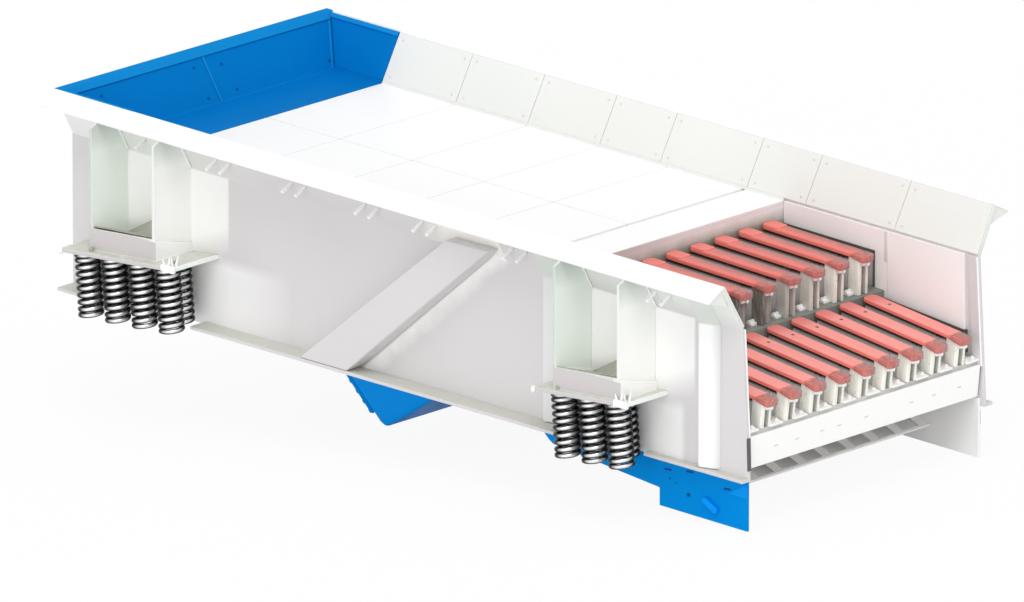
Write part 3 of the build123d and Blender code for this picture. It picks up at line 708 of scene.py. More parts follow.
def cap_finish(name, row, red, nose):
    """Red wear caps: chalky red, grey stone dust towards their far side, noses worn dark, and sides painted a
    deeper red, painted shade.
    """
    shader, at = fresh_material(name)
    x, y, _ = pan_place(at)
    grain = noise(at, 85.0, 6.0, 0.65)
    coarse = noise(at, 30.0, 5.0, 0.6) - 0.5
    across = (y.by("DIVIDE", BAR_PITCH) + 100.5).by("FRACT") + coarse * 0.5
    along = x - row["x"][0]
    ragged = along + coarse * 0.035
    head, nose_at = row["head"], row["nose_at"]
    cloudy = spread(noise(placed(at, scale=(0.4, 1, 1)), 16.0, 5.0, 0.6), 0.36, 0.64)
    # Painted shade: the caps' sides a deeper red than their tops.
    flank = ramp(face_turn(at)[1], 0.55, 0.85)
    if row["worn"]:
        # Grey stone dust towards each cap's far side, beyond the head.
        dusty = ramp(across, 0.40, 0.70) * ramp(along, head - 0.01, head + 0.03) * 0.88
        wear = [(ramp(along, head - 0.002, head + 0.004), tone(232, 134, 126)),
                (dusty, tone(170, 126, 120)),
                (ramp(along, head + 0.004, head - 0.004), tone(238, 138, 130))]
    else:
        wear = [(ramp(ragged, head + 0.02, head - 0.04) * 0.6, tone(224, 122, 118))]
    body = layered(
        red,
        (cloudy, tint(red, 0.92)),
        (spread(grain, 0.57, 0.72, 0.0, 0.5), tint(red, 0.78)),
        *wear,
        (flank * 0.8, tone(255, 132, 120)))
    dark = layered(
        nose,
        (spread(noise(at, 34.0, 6.0, 0.65), 0.40, 0.60), tone(196, 112, 106)),
        (ramp(across, 0.46, 0.66) * 0.75, tone(168, 146, 144)),
        (spread(grain, 0.50, 0.70, 0.0, 0.7), tone(140, 94, 91)),
        (flank * 0.6, tone(206, 124, 117)))
    shade = blended(ramp(ragged, nose_at - 0.006, nose_at + 0.008), body, dark)
    coat(shader, shade, spread(grain, 0.3, 0.7, 0.5, 0.75), grain, 0.35, 0.0015, gloss=0.2)


def bar_finish(name, base, dusty=None, row=None):
    """Bars under their caps: paint with upright scuffs where stone runs down, darker towards the near side when
    a colour for that is given, and a painted shadow, a dark line close under a row's caps."""
    shader, at = fresh_material(name)
    x, y, z = pan_place(at)
    upright = placed(at, scale=(60.0, 60.0, 5.0))
    scuff = spread(noise(upright, 1.6, 5.0, 0.6), 0.46, 0.74)
    speck = spread(noise(at, 70.0, 6.0, 0.65), 0.60, 0.72)
    layers = [(scuff * 0.5, tint(base, 0.70))]
    if dusty:
        # Darker towards the near side.
        layers.insert(0, (ramp(y + noise(at, 7.0) * 0.3, 0.50, 0.10), dusty))
    if row:
        fall = (x - row["x"][0]) * tan(radians(row["tilt"]))
        # Painted shadow: a dark line close under the caps.
        layers.append((ramp(row["top"] - CAP_THICK - (z + fall), 0.020, 0.010), tone(46, 40, 38)))
    coat(shader, layered(base, *layers, (speck * 0.8, tint(base, 0.5))), spread(scuff, 0.0, 1.0, 0.38, 0.62),
         noise(upright, 3.0), 0.2, 0.001, gloss=0.3)


# The finish of each CAD node, which its dressed copy keeps. A star stands for any ending or beginning.
NODE_FINISHES = {
    "side_plate": "side_plate_*",
    "white_paint": "deck_ribs cross_tubes deck_pan front_edge_strips exciter_bands exciter_beam",
    "ledge": "bottom_flanges",
    "lip": "front_lip slotted_plate",
    "stiffener": "side_stiffeners",
    "deck_paint": "deck_plates rim_flange_*",
    "flare_liner": "flare_liners_*",
    "inner_wall": "wall_liners",
    "end_wall": "deck_end_plate",
    "bracket_paint": "spring_bracket_*",
    "blue_paint": "rear_wall rear_*_liner rear_side_liners exciter_hangers exciter_housing skirts",
    "dark_steel": "step_beam",
    "seat_beam": "seat_beam",
    "rear_cap": "rear_bar_caps",
    "front_cap": "front_bar_caps",
    "bar_paint": "*_bar_bodies",
    "spring_steel": "springs_*",
}


class FEEDER_OT_finishes(Operator):
    """Make the finishes and give every plain CAD node its own"""
    bl_idname = "feeder.finishes"
    bl_label = "Finishes on the frame"

    def execute(self, context):
        paints = context.scene.feeder_paints
        for name, look in PAINTS.items():
            base = look["base"]
            paint(name, **{**look, "base": tuple(getattr(paints, base)) if isinstance(base, str) else base})
        spring_finish("spring_steel", tuple(paints.spring))
        bar_finish("bar_paint", tuple(paints.bar))
        bar_finish("bar_dusty", tuple(paints.bar), dusty=tone(106, 104, 95))
        for name, row in BAR_ROWS.items():
            cap_finish(name + "_cap", row, tuple(paints.red), tuple(paints.red_nose))
            bar_finish(name + "_bar_side", tone(214, 214, 209), row=row)
        for key, patterns in NODE_FINISHES.items():
            for pattern in patterns.split():
                for name in fnmatch.filter(NODES, pattern):
                    coloured(NODES[name], key)
        return {"FINISHED"}


# --- Plates of the trough ---

THIN_EDGE = 0.6
BAND_EDGE = 3
STIFFENER_EDGE = 4


class FEEDER_OT_plates(Operator):
    """Dress the edges of the trough's cut plates"""
    bl_idname = "feeder.plates"
    bl_label = "Plates"

    def execute(self, context):
        edge = context.scene.feeder_plates.edge
        thin = edge * THIN_EDGE
        for node in both("side_plate") + both("rim_flange") + ["bottom_flanges"]:
            dress(node, edge)
        dress("exciter_bands", edge * BAND_EDGE)
        dress("side_stiffeners", edge * STIFFENER_EDGE)
        for node in both("flare_liners") + ["wall_liners"]:
            dress(node, thin)
        for node in ["front_lip"] + both("spring_bracket_rear") + both("spring_bracket_front"):
            dress(node, edge)
        dress("deck_plates", thin, ("deck_paint", "end_wall"),
              lambda centre, normal: centre.x > DECK_END - 0.002 and normal.x > 0.9)
        # Painted light: the strips' front faces in bright white, their other faces in the side plates' white.
        dress("front_edge_strips", edge, ("white_paint", "bright_white"),
              lambda centre, normal: normal.x > 0.5)
        # The slots' walls take the slot finish, painted shade.
        dress("slotted_plate", edge, ("lip", "slot"),
              lambda centre, normal: abs(normal.y) > 0.6 or normal.x < -0.3)
        return {"FINISHED"}


BAND_UP = 0.168
WALL_BACK = 0.130
WALL_FACE = 0.012
WALL_NORMAL = Vector((FLARE_UP, 0, WALL_BACK)).normalized()
WALL_BOLTS = ((-0.562, 0.134), (-0.050, 0.137), (-0.043, 0.025), (0.094, 0.123), (0.117, 0.029), (0.636, 0.031))
STRIP_THICK = 0.004


def on_wall(y, z):
    """A point on the rear wall's liner, which leans back."""
    return Vector((WALL_FACE - z * WALL_BACK / FLARE_UP, y, z))


def wall_strip(y_low, y_high, wide, low, high):
    """A thin strip up the rear wall's liner, from height low to height high."""
    corners = ((y_low, low), (y_low + wide, low), (y_high + wide, high), (y_high, high))
    return slab([on_wall(y, z) for y, z in corners], WALL_NORMAL * STRIP_THICK)


def liner_foot(x0, x1):
    """The mitred foot that brings a near flare liner down to the deck."""
    edge = -INNER_HALF - 0.0029
    return plate_yz([(edge, 0.0054), (edge + 0.005, 0.0003), (-0.6388, 0.0003), (-0.6441, 0.0099)], x0, x1)


class FEEDER_OT_rear_walls(Operator):
    """Dress the blue walls of the feed end, with their lap joint, corner strips and sunk bolts"""
    bl_idname = "feeder.rear_walls"
    bl_label = "Rear walls"

    def execute(self, context):
        edge = context.scene.feeder_plates.edge
        thin = edge * THIN_EDGE
        blues = ("blue_paint", "blue_edge", "white_paint")
        # Painted light: the top band and the up-facing faces in the lighter blue; the wall's back faces are white
        # paint.
        dress("rear_wall_liner", thin, blues, lambda centre, normal: centre.z > BAND_UP - 0.003)
        dress("rear_side_liners", thin, blues, lambda centre, normal: centre.z > BAND_UP + 0.006)
        dress("rear_wall", edge, blues,
              lambda centre, normal: 1 if normal.z > 0.7 else 2 if normal.x < -0.2 else 0)
        dress("rear_floor_liner", thin)

        lap = wall_strip(0.010, 0.010, 0.009, 0.001, BAND_UP - 0.002)
        low, high = 0.004, BAND_UP - 0.004
        side_low, side_high = (-INNER_HALF - 0.0005 - z * FLARE_OUT / FLARE_UP for z in (low, high))
        corner = wall_strip(side_low + 0.014, side_high + 0.014, 0.010, low, high)
        # The lap and corner strips in the lighter blue of the painted light.
        trim([lap, with_twin([corner])], "rear_wall_strips", "blue_edge", 0.0012, twin=False)

        foot = plate_xz([(WALL_FACE + 0.0005, 0.0002), (WALL_FACE + 0.005, 0.0002), (WALL_FACE - 0.0035, 0.006)],
                        -0.646, 0.646)
        side = with_twin([liner_foot(WALL_FACE, DECK_START - 0.004)])
        trim([foot, side], "rear_wall_feet", "blue_paint", twin=False)
        trim([liner_foot(DECK_START, DECK_END)], "flare_liner_feet", "flare_liner")
        bolts = repeated(bolt_head(0.0055, 0.0035), [facing(WALL_NORMAL, on_wall(y, z)) for y, z in WALL_BOLTS])
        trim([bolts], "rear_wall_bolts", "blue_shade", twin=False)
        return {"FINISHED"}


# --- Bolts, studs and weld beads of the trough ---

STUD_STARTS = (0.708, 1.128, 1.529, 1.845, 2.335, 3.112)
STUD_STEP = 0.074
STUD_UP = 0.075
STUD_SINGLE = 0.313
LINER_BOLT_SHIFTS = (-0.035, 0.033)
LINER_BOLT_UPS = (0.030, FLARE_LEN - 0.040)
LINER_FACE = 0.010
BEND_DROP = 0.0070
BEAD_STARTS = GUSSET_FACES + (2.486, 3.321)
BEAD_FOOT, BEAD_TOP = -0.004, 0.168
CORNER_BEADS = ((0.176, -0.34), (0.524, -0.29))


def on_flare(x, up):
    """A point on the near flare's outer face at height up."""
    return Vector((x, -OUTER_HALF - (up + BEND_DROP) * FLARE_OUT / FLARE_UP, up))


def in_flare(x, along):
    """A point on the near flare liner's face, a length along it from the bend."""
    return Vector((x, -INNER_HALF, 0)) + FLARE_ALONG * along + FLARE_INWARD * LINER_FACE


class FEEDER_OT_fasteners(Operator):
    """Set the liner bolts and studs, and run the weld beads along gussets and stiffeners"""
    bl_idname = "feeder.fasteners"
    bl_label = "Bolts, studs and welds"

    def execute(self, context):
        sizes = context.scene.feeder_plates
        xs = [joint + shift for joint in LINER_JOINTS for shift in LINER_BOLT_SHIFTS][1:]
        places = [facing(FLARE_INWARD, in_flare(x, along)) for x in xs for along in LINER_BOLT_UPS]
        bolts = repeated(bolt_head(sizes.bolt / 2, 0.003), places)
        trim([bolts], "liner_bolts", "liner_bolt")

        stud = round_bar(sizes.stud_wide / 2, sizes.stud, 10, (0, 0, sizes.stud / 2 - 0.001))
        xs = [start + i * STUD_STEP for start in STUD_STARTS for i in (0, 1)] + [STUD_SINGLE]
        places = [facing(-FLARE_INWARD, on_flare(x, STUD_UP)) for x in xs]
        trim([repeated(rounded(stud, 0.0015), places)], "liner_studs", "lip", soft=True)

        wide, half = sizes.weld, sizes.weld / 2
        beads = [slab([on_flare(x, BEAD_FOOT), on_flare(x + wide, BEAD_FOOT), on_flare(x + wide, BEAD_TOP),
                       on_flare(x, BEAD_TOP)], -FLARE_INWARD * half) for x in BEAD_STARTS]
        beads += [plate_xy([(x, -OUTER_HALF - half), (x + half, -OUTER_HALF), (x, -OUTER_HALF)], low, -0.012)
                  for x, low in CORNER_BEADS]
        trim(beads, "weld_beads", "bright_white", 0.0015)
        return {"FINISHED"}


# --- Brackets and springs ---

GUSSET_OUT = 0.868
POCKET_RISE = 0.57
POCKET_DOWN = (0, 0, -0.004)
KNOB_LOOKS = (-0.7, -0.6, 0)
# Weld splashes at a base plate's front corner: how far back, how high, and which way each leans.
FINS = ((0.060, 0.030, -0.010), (0.044, 0.046, 0.008), (0.028, 0.034, -0.006), (0.014, 0.052, 0.014),
        (0.050, 0.024, 0.012))


def base_under(bracket, x):
    """Height of a bracket's base plate from below: the plates are level, so they slope in the pan frame."""
    return bracket["z"] - (bracket["x"][1] - x) * tan(SLOPE)


def base_top(bracket, x):
    return base_under(bracket, x) + BASE_PLATE


def pocket_shade_plates(bracket):
    """Two sloped olive plates in a bracket's floor between its gussets: a sheet of painted shade for the pocket's
    shade.
    """
    g0, g1 = bracket["gussets"][0] + GUSSET, bracket["gussets"][1]
    outer = min(GUSSET_OUT, OUTER_HALF + bracket["deep"] - 0.006) - GUSSET
    foot = bracket["z"] + 0.003
    root, lip = (g0, -OUTER_HALF, foot), (g0, -outer, foot + 0.064)
    rise = (g1, -OUTER_HALF, foot + POCKET_RISE * (g1 - g0))
    ledge = (g1, -outer, base_top(bracket, g1) + 0.092)
    return [slab((root, lip, ledge), POCKET_DOWN), slab((root, ledge, rise), POCKET_DOWN)]


def corner_welds(bracket, reach):
    """Splashes and a bead at the base plate's outer front corner, and a weld along its front edge."""
    x1 = bracket["x"][1]
    edge = base_top(bracket, x1)
    pieces = []
    for i, (back, high, lean) in enumerate(FINS):
        x, y = x1 - back, 0.012 + 0.006 * i - reach
        z = base_top(bracket, x) - 0.001
        pieces.append(slab([(x - 0.009, y, z), (x + 0.009, y - 0.004, z), (x + lean, y - 0.002, z + high)],
                           (0, 0.006, 0)))
    bead = block(x1 - 0.070, x1 + 0.003, -reach - 0.003, -reach + 0.016, edge - 0.024, edge + 0.004)
    pieces.append(rounded(bead, 0.006, 3))
    pieces.append(block(x1 - 0.006, x1 + 0.001, -reach + 0.006, -OUTER_HALF - 0.010, edge - 0.001, edge + 0.002))
    return pieces


class FEEDER_OT_brackets(Operator):
    """Add the olive painted-shade plates in the pockets, weld fins, corner studs and bolts of the spring brackets"""
    bl_idname = "feeder.brackets"
    bl_label = "Bracket details"

    def execute(self, context):
        for end, bracket in BRACKETS.items():
            reach = OUTER_HALF + bracket["deep"]
            x0, x1 = bracket["x"]
            top = base_top(bracket, x0)
            trim(pocket_shade_plates(bracket), "pocket_plates_" + end, "olive_dust")
            trim(corner_welds(bracket, reach), "corner_welds_" + end, "bright_white", 0.0012)

            corner = (x0 + 0.008, 0.010 - reach, top - 0.010)
            knob = set_at(bolt_head(0.014, 0.014, 12), facing(KNOB_LOOKS, corner))
            lugs = [rounded(knob, 0.004, 3)]
            if end == "front":
                lugs.append(block(x0 + 0.004, x0 + 0.012, -OUTER_HALF - 0.110, -OUTER_HALF - 0.060, top, top + 0.048))
            trim(lugs, "bracket_end_lugs_" + end, "bright_white", soft=True)

            spots = ((bracket["gussets"][0] + 0.030, 0.030 - reach), (x1 - 0.046, 0.060 - reach))
            # The bolts take the olive painted shade.
            bolts = repeated(bolt_head(0.011, 0.014),
                             [facing((0, 0, 1), (x, y, base_top(bracket, x))) for x, y in spots])
            trim([bolts], "base_bolts_" + end, "olive_dust")
        return {"FINISHED"}


STEPS_A_TURN = 20
CLOSED_PITCH = 0.9
GROUND_SHARE = 0.35
SEAT_GAP = 0.0003


def coil_spring(sizes):
    """A coil with closed, ground ends, standing on Z = 0: a wire ring screwed up, then its pitch eased."""
    half = sizes.wire / 2
    bpy.ops.mesh.primitive_circle_add(vertices=sizes.sides, radius=half, location=(sizes.outside / 2 - half, 0, 0),
                                      rotation=ALONG_Y, fill_type="NOTHING")
    bpy.ops.object.transform_apply(location=True, rotation=True, scale=True)
    steps = int(sizes.turns * STEPS_A_TURN)
    piece = modified(bpy.context.object, "SCREW", axis="Z", angle=2 * pi * sizes.turns,
                     screw_offset=sizes.high, steps=steps, render_steps=steps)
    closed = 1.0 / sizes.turns
    ease = CLOSED_PITCH * sizes.wire
    low, high = half * GROUND_SHARE, sizes.high - half * GROUND_SHARE

    def climb(share):
        """Height of the wire's centre: the first and last turn lie nearly flat."""
        if share < closed:
            return low + ease * share / closed
        if share > 1 - closed:
            return high - ease + ease * (share - 1 + closed) / closed
        return low + ease + (high - low - 2 * ease) * (share - closed) / (1 - 2 * closed)

    for index, vertex in enumerate(piece.data.vertices):
        share = min(1.0, (index // sizes.sides) / steps)
        lift = climb(share) - sizes.high * share
        vertex.co.z = min(max(vertex.co.z + lift, 0.0), sizes.high)
    edit(piece)
    bpy.ops.mesh.select_mode(type="EDGE")
    bpy.ops.mesh.select_all(action="DESELECT")
    bpy.ops.mesh.select_non_manifold()
    bpy.ops.mesh.fill_holes(sides=0)
    leave_facing_out()
    return smooth(piece, 60)


def spring_places(bracket, side, high):
    """Where a bracket's springs stand, upright in the part's own frame, each turned its own way."""
    group = bracket["springs"]
    for row, y in enumerate(group["rows"]):
        for i in range(group["count"]):
            x = group["first"] + i * group["pitch"] + (group["shift"] if row == 0 else 0.0)
            foot = Vector((x + high * sin(SLOPE), side * y,
                           base_under(bracket, x) - SEAT_GAP - high * cos(SLOPE)))
            yield Matrix.Translation(PAN @ foot) @ Matrix.Rotation(radians(37 * i + 71 * row), 4, "Z")


class FEEDER_OT_springs(Operator):
    """Wind the coil springs and stand them under their brackets"""
    bl_idname = "feeder.springs"
    bl_label = "Coil springs"

    def execute(self, context):
        sizes = context.scene.feeder_springs
        master = coil_spring(sizes)
        for end, bracket in BRACKETS.items():
            for name, side in zip(both("springs_" + end), (-1, 1)):
                coils = joined([copied(master, m) for m in spring_places(bracket, side, sizes.high)])
                settled(coils, name + "_wound", "spring_steel", (name,), in_pan=False)
        bpy.data.objects.remove(master)
        return {"FINISHED"}


# --- Grizzly bars ---

def bar_place(row, y, x=0.0, up=0.0):
    """From a bar's own frame, its rear end of the cap's top at the origin, to the pan frame."""
    return moved(row["x"][0], y, row["top"], row["tilt"]) @ Matrix.Translation((x, 0, up))


def bar_length(row):
    return row["x"][1] - row["x"][0] - BAR_SHORT


def blunt_end(half, start):
    """The rear end of a cap's outline: corners well rounded, a short flat between them."""
    corner = half * 0.62
    arc = [radians(d) for d in range(0, 91, 15)]
    near = [(start + corner - corner * sin(a), corner - half - corner * cos(a)) for a in arc]
    return near + [(x, -y) for x, y in reversed(near)]


def wear_cap(row, sizes):
    """Cap along X from 0, its top on Z = 0: rounded rear end, raised head on worn ones, hooded nose."""
    long = row["x"][1] - row["x"][0]
    half = sizes.cap_width / 2
    nose = long - sizes.nose_length
    strip = plate_xy(blunt_end(half, 0.0) + [(nose, half), (nose, -half)], -sizes.cap_thick, 0.0)
    front = [(nose, half), (long - 0.008, half), (long, half - 0.009), (long, 0.009 - half),
             (long - 0.008, -half), (nose, -half)]
    hood = plate_xy(front, -sizes.nose_deep, 0.0)
    slope = (sizes.nose_deep - sizes.cap_thick) / 2 / sizes.nose_length
    for vertex in hood.data.vertices:
        if vertex.co.z < -0.001:
            vertex.co.z = -sizes.cap_thick - 0.001 - slope * (vertex.co.x - nose)
    pieces = [rounded(strip, 0.0025, 2, 35), rounded(hood, 0.003, 2, 35)]
    if row["worn"]:
        head, inner = row["head"], half - 0.001
        outline = [(head - 0.006, inner), (head, half - 0.008), (head, 0.008 - half), (head - 0.006, -inner)]
        pieces.append(rounded(plate_xy(blunt_end(inner, 0.001) + outline, -0.004, 0.005), 0.002, 2, 35))
    return smooth(joined(pieces), 50)


def bar_under(row, sizes):
    """The bar under a cap: two webs with a thickened front end, a slot between them, ribs at the sides."""
    long = bar_length(row)
    half, slot = sizes.body_width / 2, sizes.slot_width / 2
    waist = half - 0.006
    top = -sizes.cap_thick + 0.0002
    low = top - row["deep"]
    swing = (sizes.cap_thick + row["deep"]) * sin(radians(row["tilt"]))
    boss = long - sizes.boss
    made = []
    for side in (-1, 1):
        outline = ((swing, slot), (long - 0.002, slot), (long, slot + 0.003), (long, half - 0.007),
                   (long - 0.007, half), (boss, half), (boss - 0.006, waist), (swing, waist))
        made.append(plate_xy([(x, side * y) for x, y in outline], low, top))
        y0, y1 = sorted((side * (half - 0.007), side * (half - 0.0005)))
        for x in (0.030, 0.052):
            made.append(block(boss - x - 0.008, boss - x, y0, y1, low + 0.004, top - 0.004))
    made.append(block(swing, boss - 0.004, -half + 0.008, half - 0.008, low, low + 0.017))
    bar = smooth(rounded(joined(made), 0.002, 2, 40))

    def on_side(centre, normal):
        return abs(centre.y) < slot + 0.001 and abs(normal.y) > 0.5 or centre.x < boss - 0.001
    keys = ("bar_dusty", "rear_bar_side") if row["worn"] else ("bar_paint", "front_bar_side")
    return sorted_faces(bar, keys, on_side, in_pan=True)


def nose_lug(row, sizes):
    """The pale lug with its bolt under the nose, at the head of the slot."""
    long = bar_length(row)
    top = 0.008 - sizes.nose_deep
    lug = rounded(block(long - 0.001, long + 0.012, -0.020, 0.020, top - 0.014, top + 0.006), 0.003)
    bolt = set_at(bolt_head(0.009, 0.010), facing((1, 0, 0), (long + 0.011, 0.004, top - 0.006)))
    return smooth(joined([lug, bolt]))


def seat_pad(long, wide, high):
    """A clamp pad with two bolt heads, standing on Z = 0 at its middle."""
    pad = rounded(block(-long / 2, long / 2, -wide / 2, wide / 2, 0, high), 0.002)
    bolts = [set_at(bolt_head(0.008, 0.009), moved(0, y, high)) for y in (-wide * 0.27, wide * 0.27)]
    return smooth(joined([pad] + bolts))


CAP_HOLE_X = 0.115
# How far along a bar's frame its pads stand, and across the trough where.
FRONT_PADS = (0.494, [y + BAR_PITCH / 2 - 0.012 for y in BAR_CENTRES[:-1]] + [-0.618, 0.608])
REAR_PADS = (0.486, [y - 0.046 for y in BAR_CENTRES])
SEAL_HIGH, SEAL_LOW, SEAL_END = -0.094, -0.270, -0.309


def wear_plate_seals():
    """The dark joint along the lower edge of the near wear plates, step by step to the discharge."""
    outlines = (
        [(2.491, -0.090), (2.984, SEAL_HIGH), (2.984, -0.104), (2.491, -0.100)],
        [(2.984, SEAL_HIGH), (2.984, SEAL_LOW), (2.974, SEAL_LOW), (2.974, -0.104)],
        [(2.974, SEAL_LOW), (3.051, SEAL_LOW - 0.006), (3.464, SEAL_END), (3.464, SEAL_END - 0.011),
         (3.051, SEAL_LOW - 0.017), (2.974, SEAL_LOW - 0.010)])
    last = [(3.464, SEAL_END), (3.474, SEAL_END), (3.475, SEAL_END - 0.090), (3.464, SEAL_END - 0.090)]
    return [plate_xz(outline, -0.650, -0.638) for outline in outlines] + [plate_xz(last, -0.650, -0.6415)]


class FEEDER_OT_bars(Operator):
    """Shape the wear caps, the bars under them, their lugs and the clamp pads at their feet"""
    bl_idname = "feeder.bars"
    bl_label = "Grizzly bars"

    def execute(self, context):
        sizes = context.scene.feeder_bars
        for name, row in BAR_ROWS.items():
            places = [bar_place(row, y) for y in BAR_CENTRES]
            caps, bodies = name + "_bar_caps", name + "_bar_bodies"
            settled(repeated(wear_cap(row, sizes), places), caps + "_shaped", name + "_cap", (caps,))
            settled(repeated(bar_under(row, sizes), places), bodies + "_shaped", None, (bodies,))
            lugs = repeated(nose_lug(row, sizes), places)
            settled(lugs, name + "_bar_lugs", "bright_white")

        # Dark flush discs for the holes in the front caps: painted shade standing for the openings.
        plugs = repeated(bolt_head(0.007, 0.0015, 8),
                         [bar_place(BAR_ROWS["front"], y + 0.004, CAP_HOLE_X, -0.0006) for y in BAR_CENTRES])
        settled(plugs, "front_cap_plugs", "rubber_seal")
        for name, end, (x, ys), pad in (("seat_pads", "front", FRONT_PADS, seat_pad(0.046, 0.070, 0.007)),
                                        ("step_pads", "rear", REAR_PADS, seat_pad(0.036, 0.032, 0.012))):
            under = -sizes.cap_thick - BAR_ROWS[end]["deep"] - 0.0003
            pads = repeated(pad, [bar_place(BAR_ROWS[end], y, x, under) for y in ys])
            settled(pads, name, "lip")

        trim(wear_plate_seals(), "wear_plate_seals", "rubber_seal")
        lap = rounded(block(3.0375, 3.0525, -0.6495, -0.6365, -0.125, -0.003), 0.0012)
        trim([lap], "wear_plate_lap_strips", "liner_bolt", soft=True)
        return {"FINISHED"}


# --- Skirts, lip and rim ends ---

SKIRT_SLOTS = ((3.120, -0.656), (3.238, -0.639), (3.438, -0.663))
SKIRT_HOLES = ((3.231, -0.734, 0.009), (3.131, -0.690, 0.004), (3.165, -0.700, 0.003))
MARK_FACE, SKIRT_FACE = -0.6512, -0.6495
LIP_SLITS = (-0.492, -0.376, -0.236, -0.141, 0.008, 0.259, 0.387, 0.528)
LIP_FACE, SLIT_DOWN = 0.528, -0.203


def inside_skirt(centre, normal):
    """What looks inwards, and the far skirt's edges too."""
    return normal.y * centre.y < -0.3 * abs(centre.y) or centre.y > 0 and normal.y < 0.9


class FEEDER_OT_discharge(Operator):
    """Dress the skirts, and mark the lip, the skirts and the ends of the rims"""
    bl_idname = "feeder.discharge"
    bl_label = "Discharge end"

    def execute(self, context):
        dress("skirts", context.scene.feeder_plates.edge, ("blue_skirt", "skirt_inner"), inside_skirt)
        # Dark flush marks for the skirts' slots and holes: painted shade standing for the openings.
        marks = [set_at(plate_xz(oblong(0.038, 0.008), MARK_FACE, SKIRT_FACE), moved(x, 0, z, -6))
                 for x, z in SKIRT_SLOTS]
        marks += [round_bar(radius, SKIRT_FACE - MARK_FACE, 14, (x, (MARK_FACE + SKIRT_FACE) / 2, z), ALONG_Y)
                  for x, z, radius in SKIRT_HOLES]
        trim(marks, "skirt_slots", "blue_shade")
        pocket = rounded(plate_xz(oblong(0.086, 0.026, 7), -0.666, SKIRT_FACE), 0.004, 3)
        corner = plate_xz([(3.443, -0.679), (3.5435, -0.679), (3.5435, -0.622)], -0.6516, SKIRT_FACE)
        trim([set_at(pocket, moved(3.355, 0, -0.746, 28)), corner], "skirt_pads", "blue_drive",
             soft=True)

        # Grey flush marks for the lip's slits: painted shade standing for the openings.
        slits = [set_at(plate_yz(oblong(0.024, 0.0055), LIP_FACE, LIP_FACE + 0.0008),
                        bar_place(BAR_ROWS["front"], y, up=SLIT_DOWN)) for y in LIP_SLITS]
        trim(slits, "lip_slits", "liner_bolt", twin=False)
        gap = plate_xz([(3.5565, -0.430), (3.5600, -0.430), (3.5640, -0.560), (3.5605, -0.560)], -0.667, -0.6485)
        trim([gap], "lip_end_seal", "rubber_seal", twin=False)

        crest = Vector((0, -INNER_HALF - FLARE_OUT, FLARE_UP)) - FLARE_ALONG * 0.012
        corners = (crest - FLARE_INWARD * 0.096, crest - FLARE_INWARD * 0.014, on_flare(0, 0.105))
        end_x = FRONT_X - FRONT_LEAN * FLARE_UP - 0.009
        rim_end = plate_yz([(p.y, p.z) for p in corners], end_x, end_x + 0.005)
        trim([rim_end], "rim_end_plates", "flare_liner")
        plug = set_at(plate_xz(oblong(0.034, 0.008), -0.6655, -0.6635), moved(3.455, 0, -0.216))
        trim([plug], "side_plate_plugs", "liner_bolt")
        return {"FINISHED"}


# --- Vibrating drive ---

DRIVE_TOP = Vector((1.100, 0, -0.755))
DRIVE_ALONG = (Vector((1.300, 0, -0.938)) - DRIVE_TOP).normalized()
DRIVE_OUT = Vector((DRIVE_ALONG.z, 0, -DRIVE_ALONG.x))
# Each flange of the drive's face: where it begins and ends across the trough, and how far it stands out.
DRIVE_FLANGES = ((-0.396, -0.340, 0.016), (-0.325, -0.285, 0.020), (0.285, 0.325, 0.016), (0.340, 0.396, 0.020))
DRIVE_NUTS = [(a, y) for y in (-0.368, -0.305, 0.305, 0.368) for a in (0.055, 0.105, 0.155, 0.200)]


def on_drive(along, out, y):
    return DRIVE_TOP + DRIVE_ALONG * along + DRIVE_OUT * out + Vector((0, y, 0))


class FEEDER_OT_drive(Operator):
    """Round the drive's housing, and give it its end flanges and nuts"""
    bl_idname = "feeder.drive"
    bl_label = "Vibrating drive"

    def execute(self, context):
        dress("exciter_housing", 0.016, ("blue_skirt", "blue_drive"),
              lambda centre, normal: abs(normal.y) > 0.5, segments=4, ending="_rounded")
        dress("exciter_hangers", 0.003)
        dress("exciter_beam", 0.003)
        flanges = []
        for near, far, out in DRIVE_FLANGES:
            outline = ((0.020, -0.002), (0.225, -0.002), (0.215, out), (0.032, out))
            flanges.append(slab([on_drive(a, b, near) for a, b in outline], (0, far - near, 0)))
        nuts = [set_at(bolt_head(0.015, 0.020), facing(DRIVE_OUT, on_drive(a, 0.016, y))) for a, y in DRIVE_NUTS]
        trim([rounded(joined(flanges), 0.003)] + nuts, "exciter_flanges", "blue_skirt", soft=True,
             twin=False)
        return {"FINISHED"}


# --- Stage ---

FLOOR_GLOW = 0.93
FLOOR_PLACE = (-1.3, 0.84, CAD_BOX[0].z - 0.006)
WHITE = (1.0, 1.0, 1.0)
SUN_FROM = (0.44, -0.36, 0.82)
FILL_FROM = (0.34, -0.94, 0.04)
CAMERA_TURN, CAMERA_RISE = radians(45.4), radians(17.7)
CAMERA_AIM = Vector((1.8, 0.0, -0.3))
CAMERA_AWAY, CAMERA_RIGHT, CAMERA_UP = 90.0, -0.1168, -0.1139


def mix_seen(tree, output, lit, seen, share=1.0):
    """Sends one shader to the output for the light that reaches the object, and another, by a share, for
    what the camera and mirrors see."""
    path = tree.nodes.new("ShaderNodeLightPath")
    direct = Wire(path, "Is Camera Ray").by("MAXIMUM", Wire(path, "Is Glossy Ray"))
    mix = add_node(tree, "MixShader", {0: direct * share, 1: Wire(lit), 2: Wire(seen)})
    feed(tree.nodes[output].inputs["Surface"], Wire(mix))


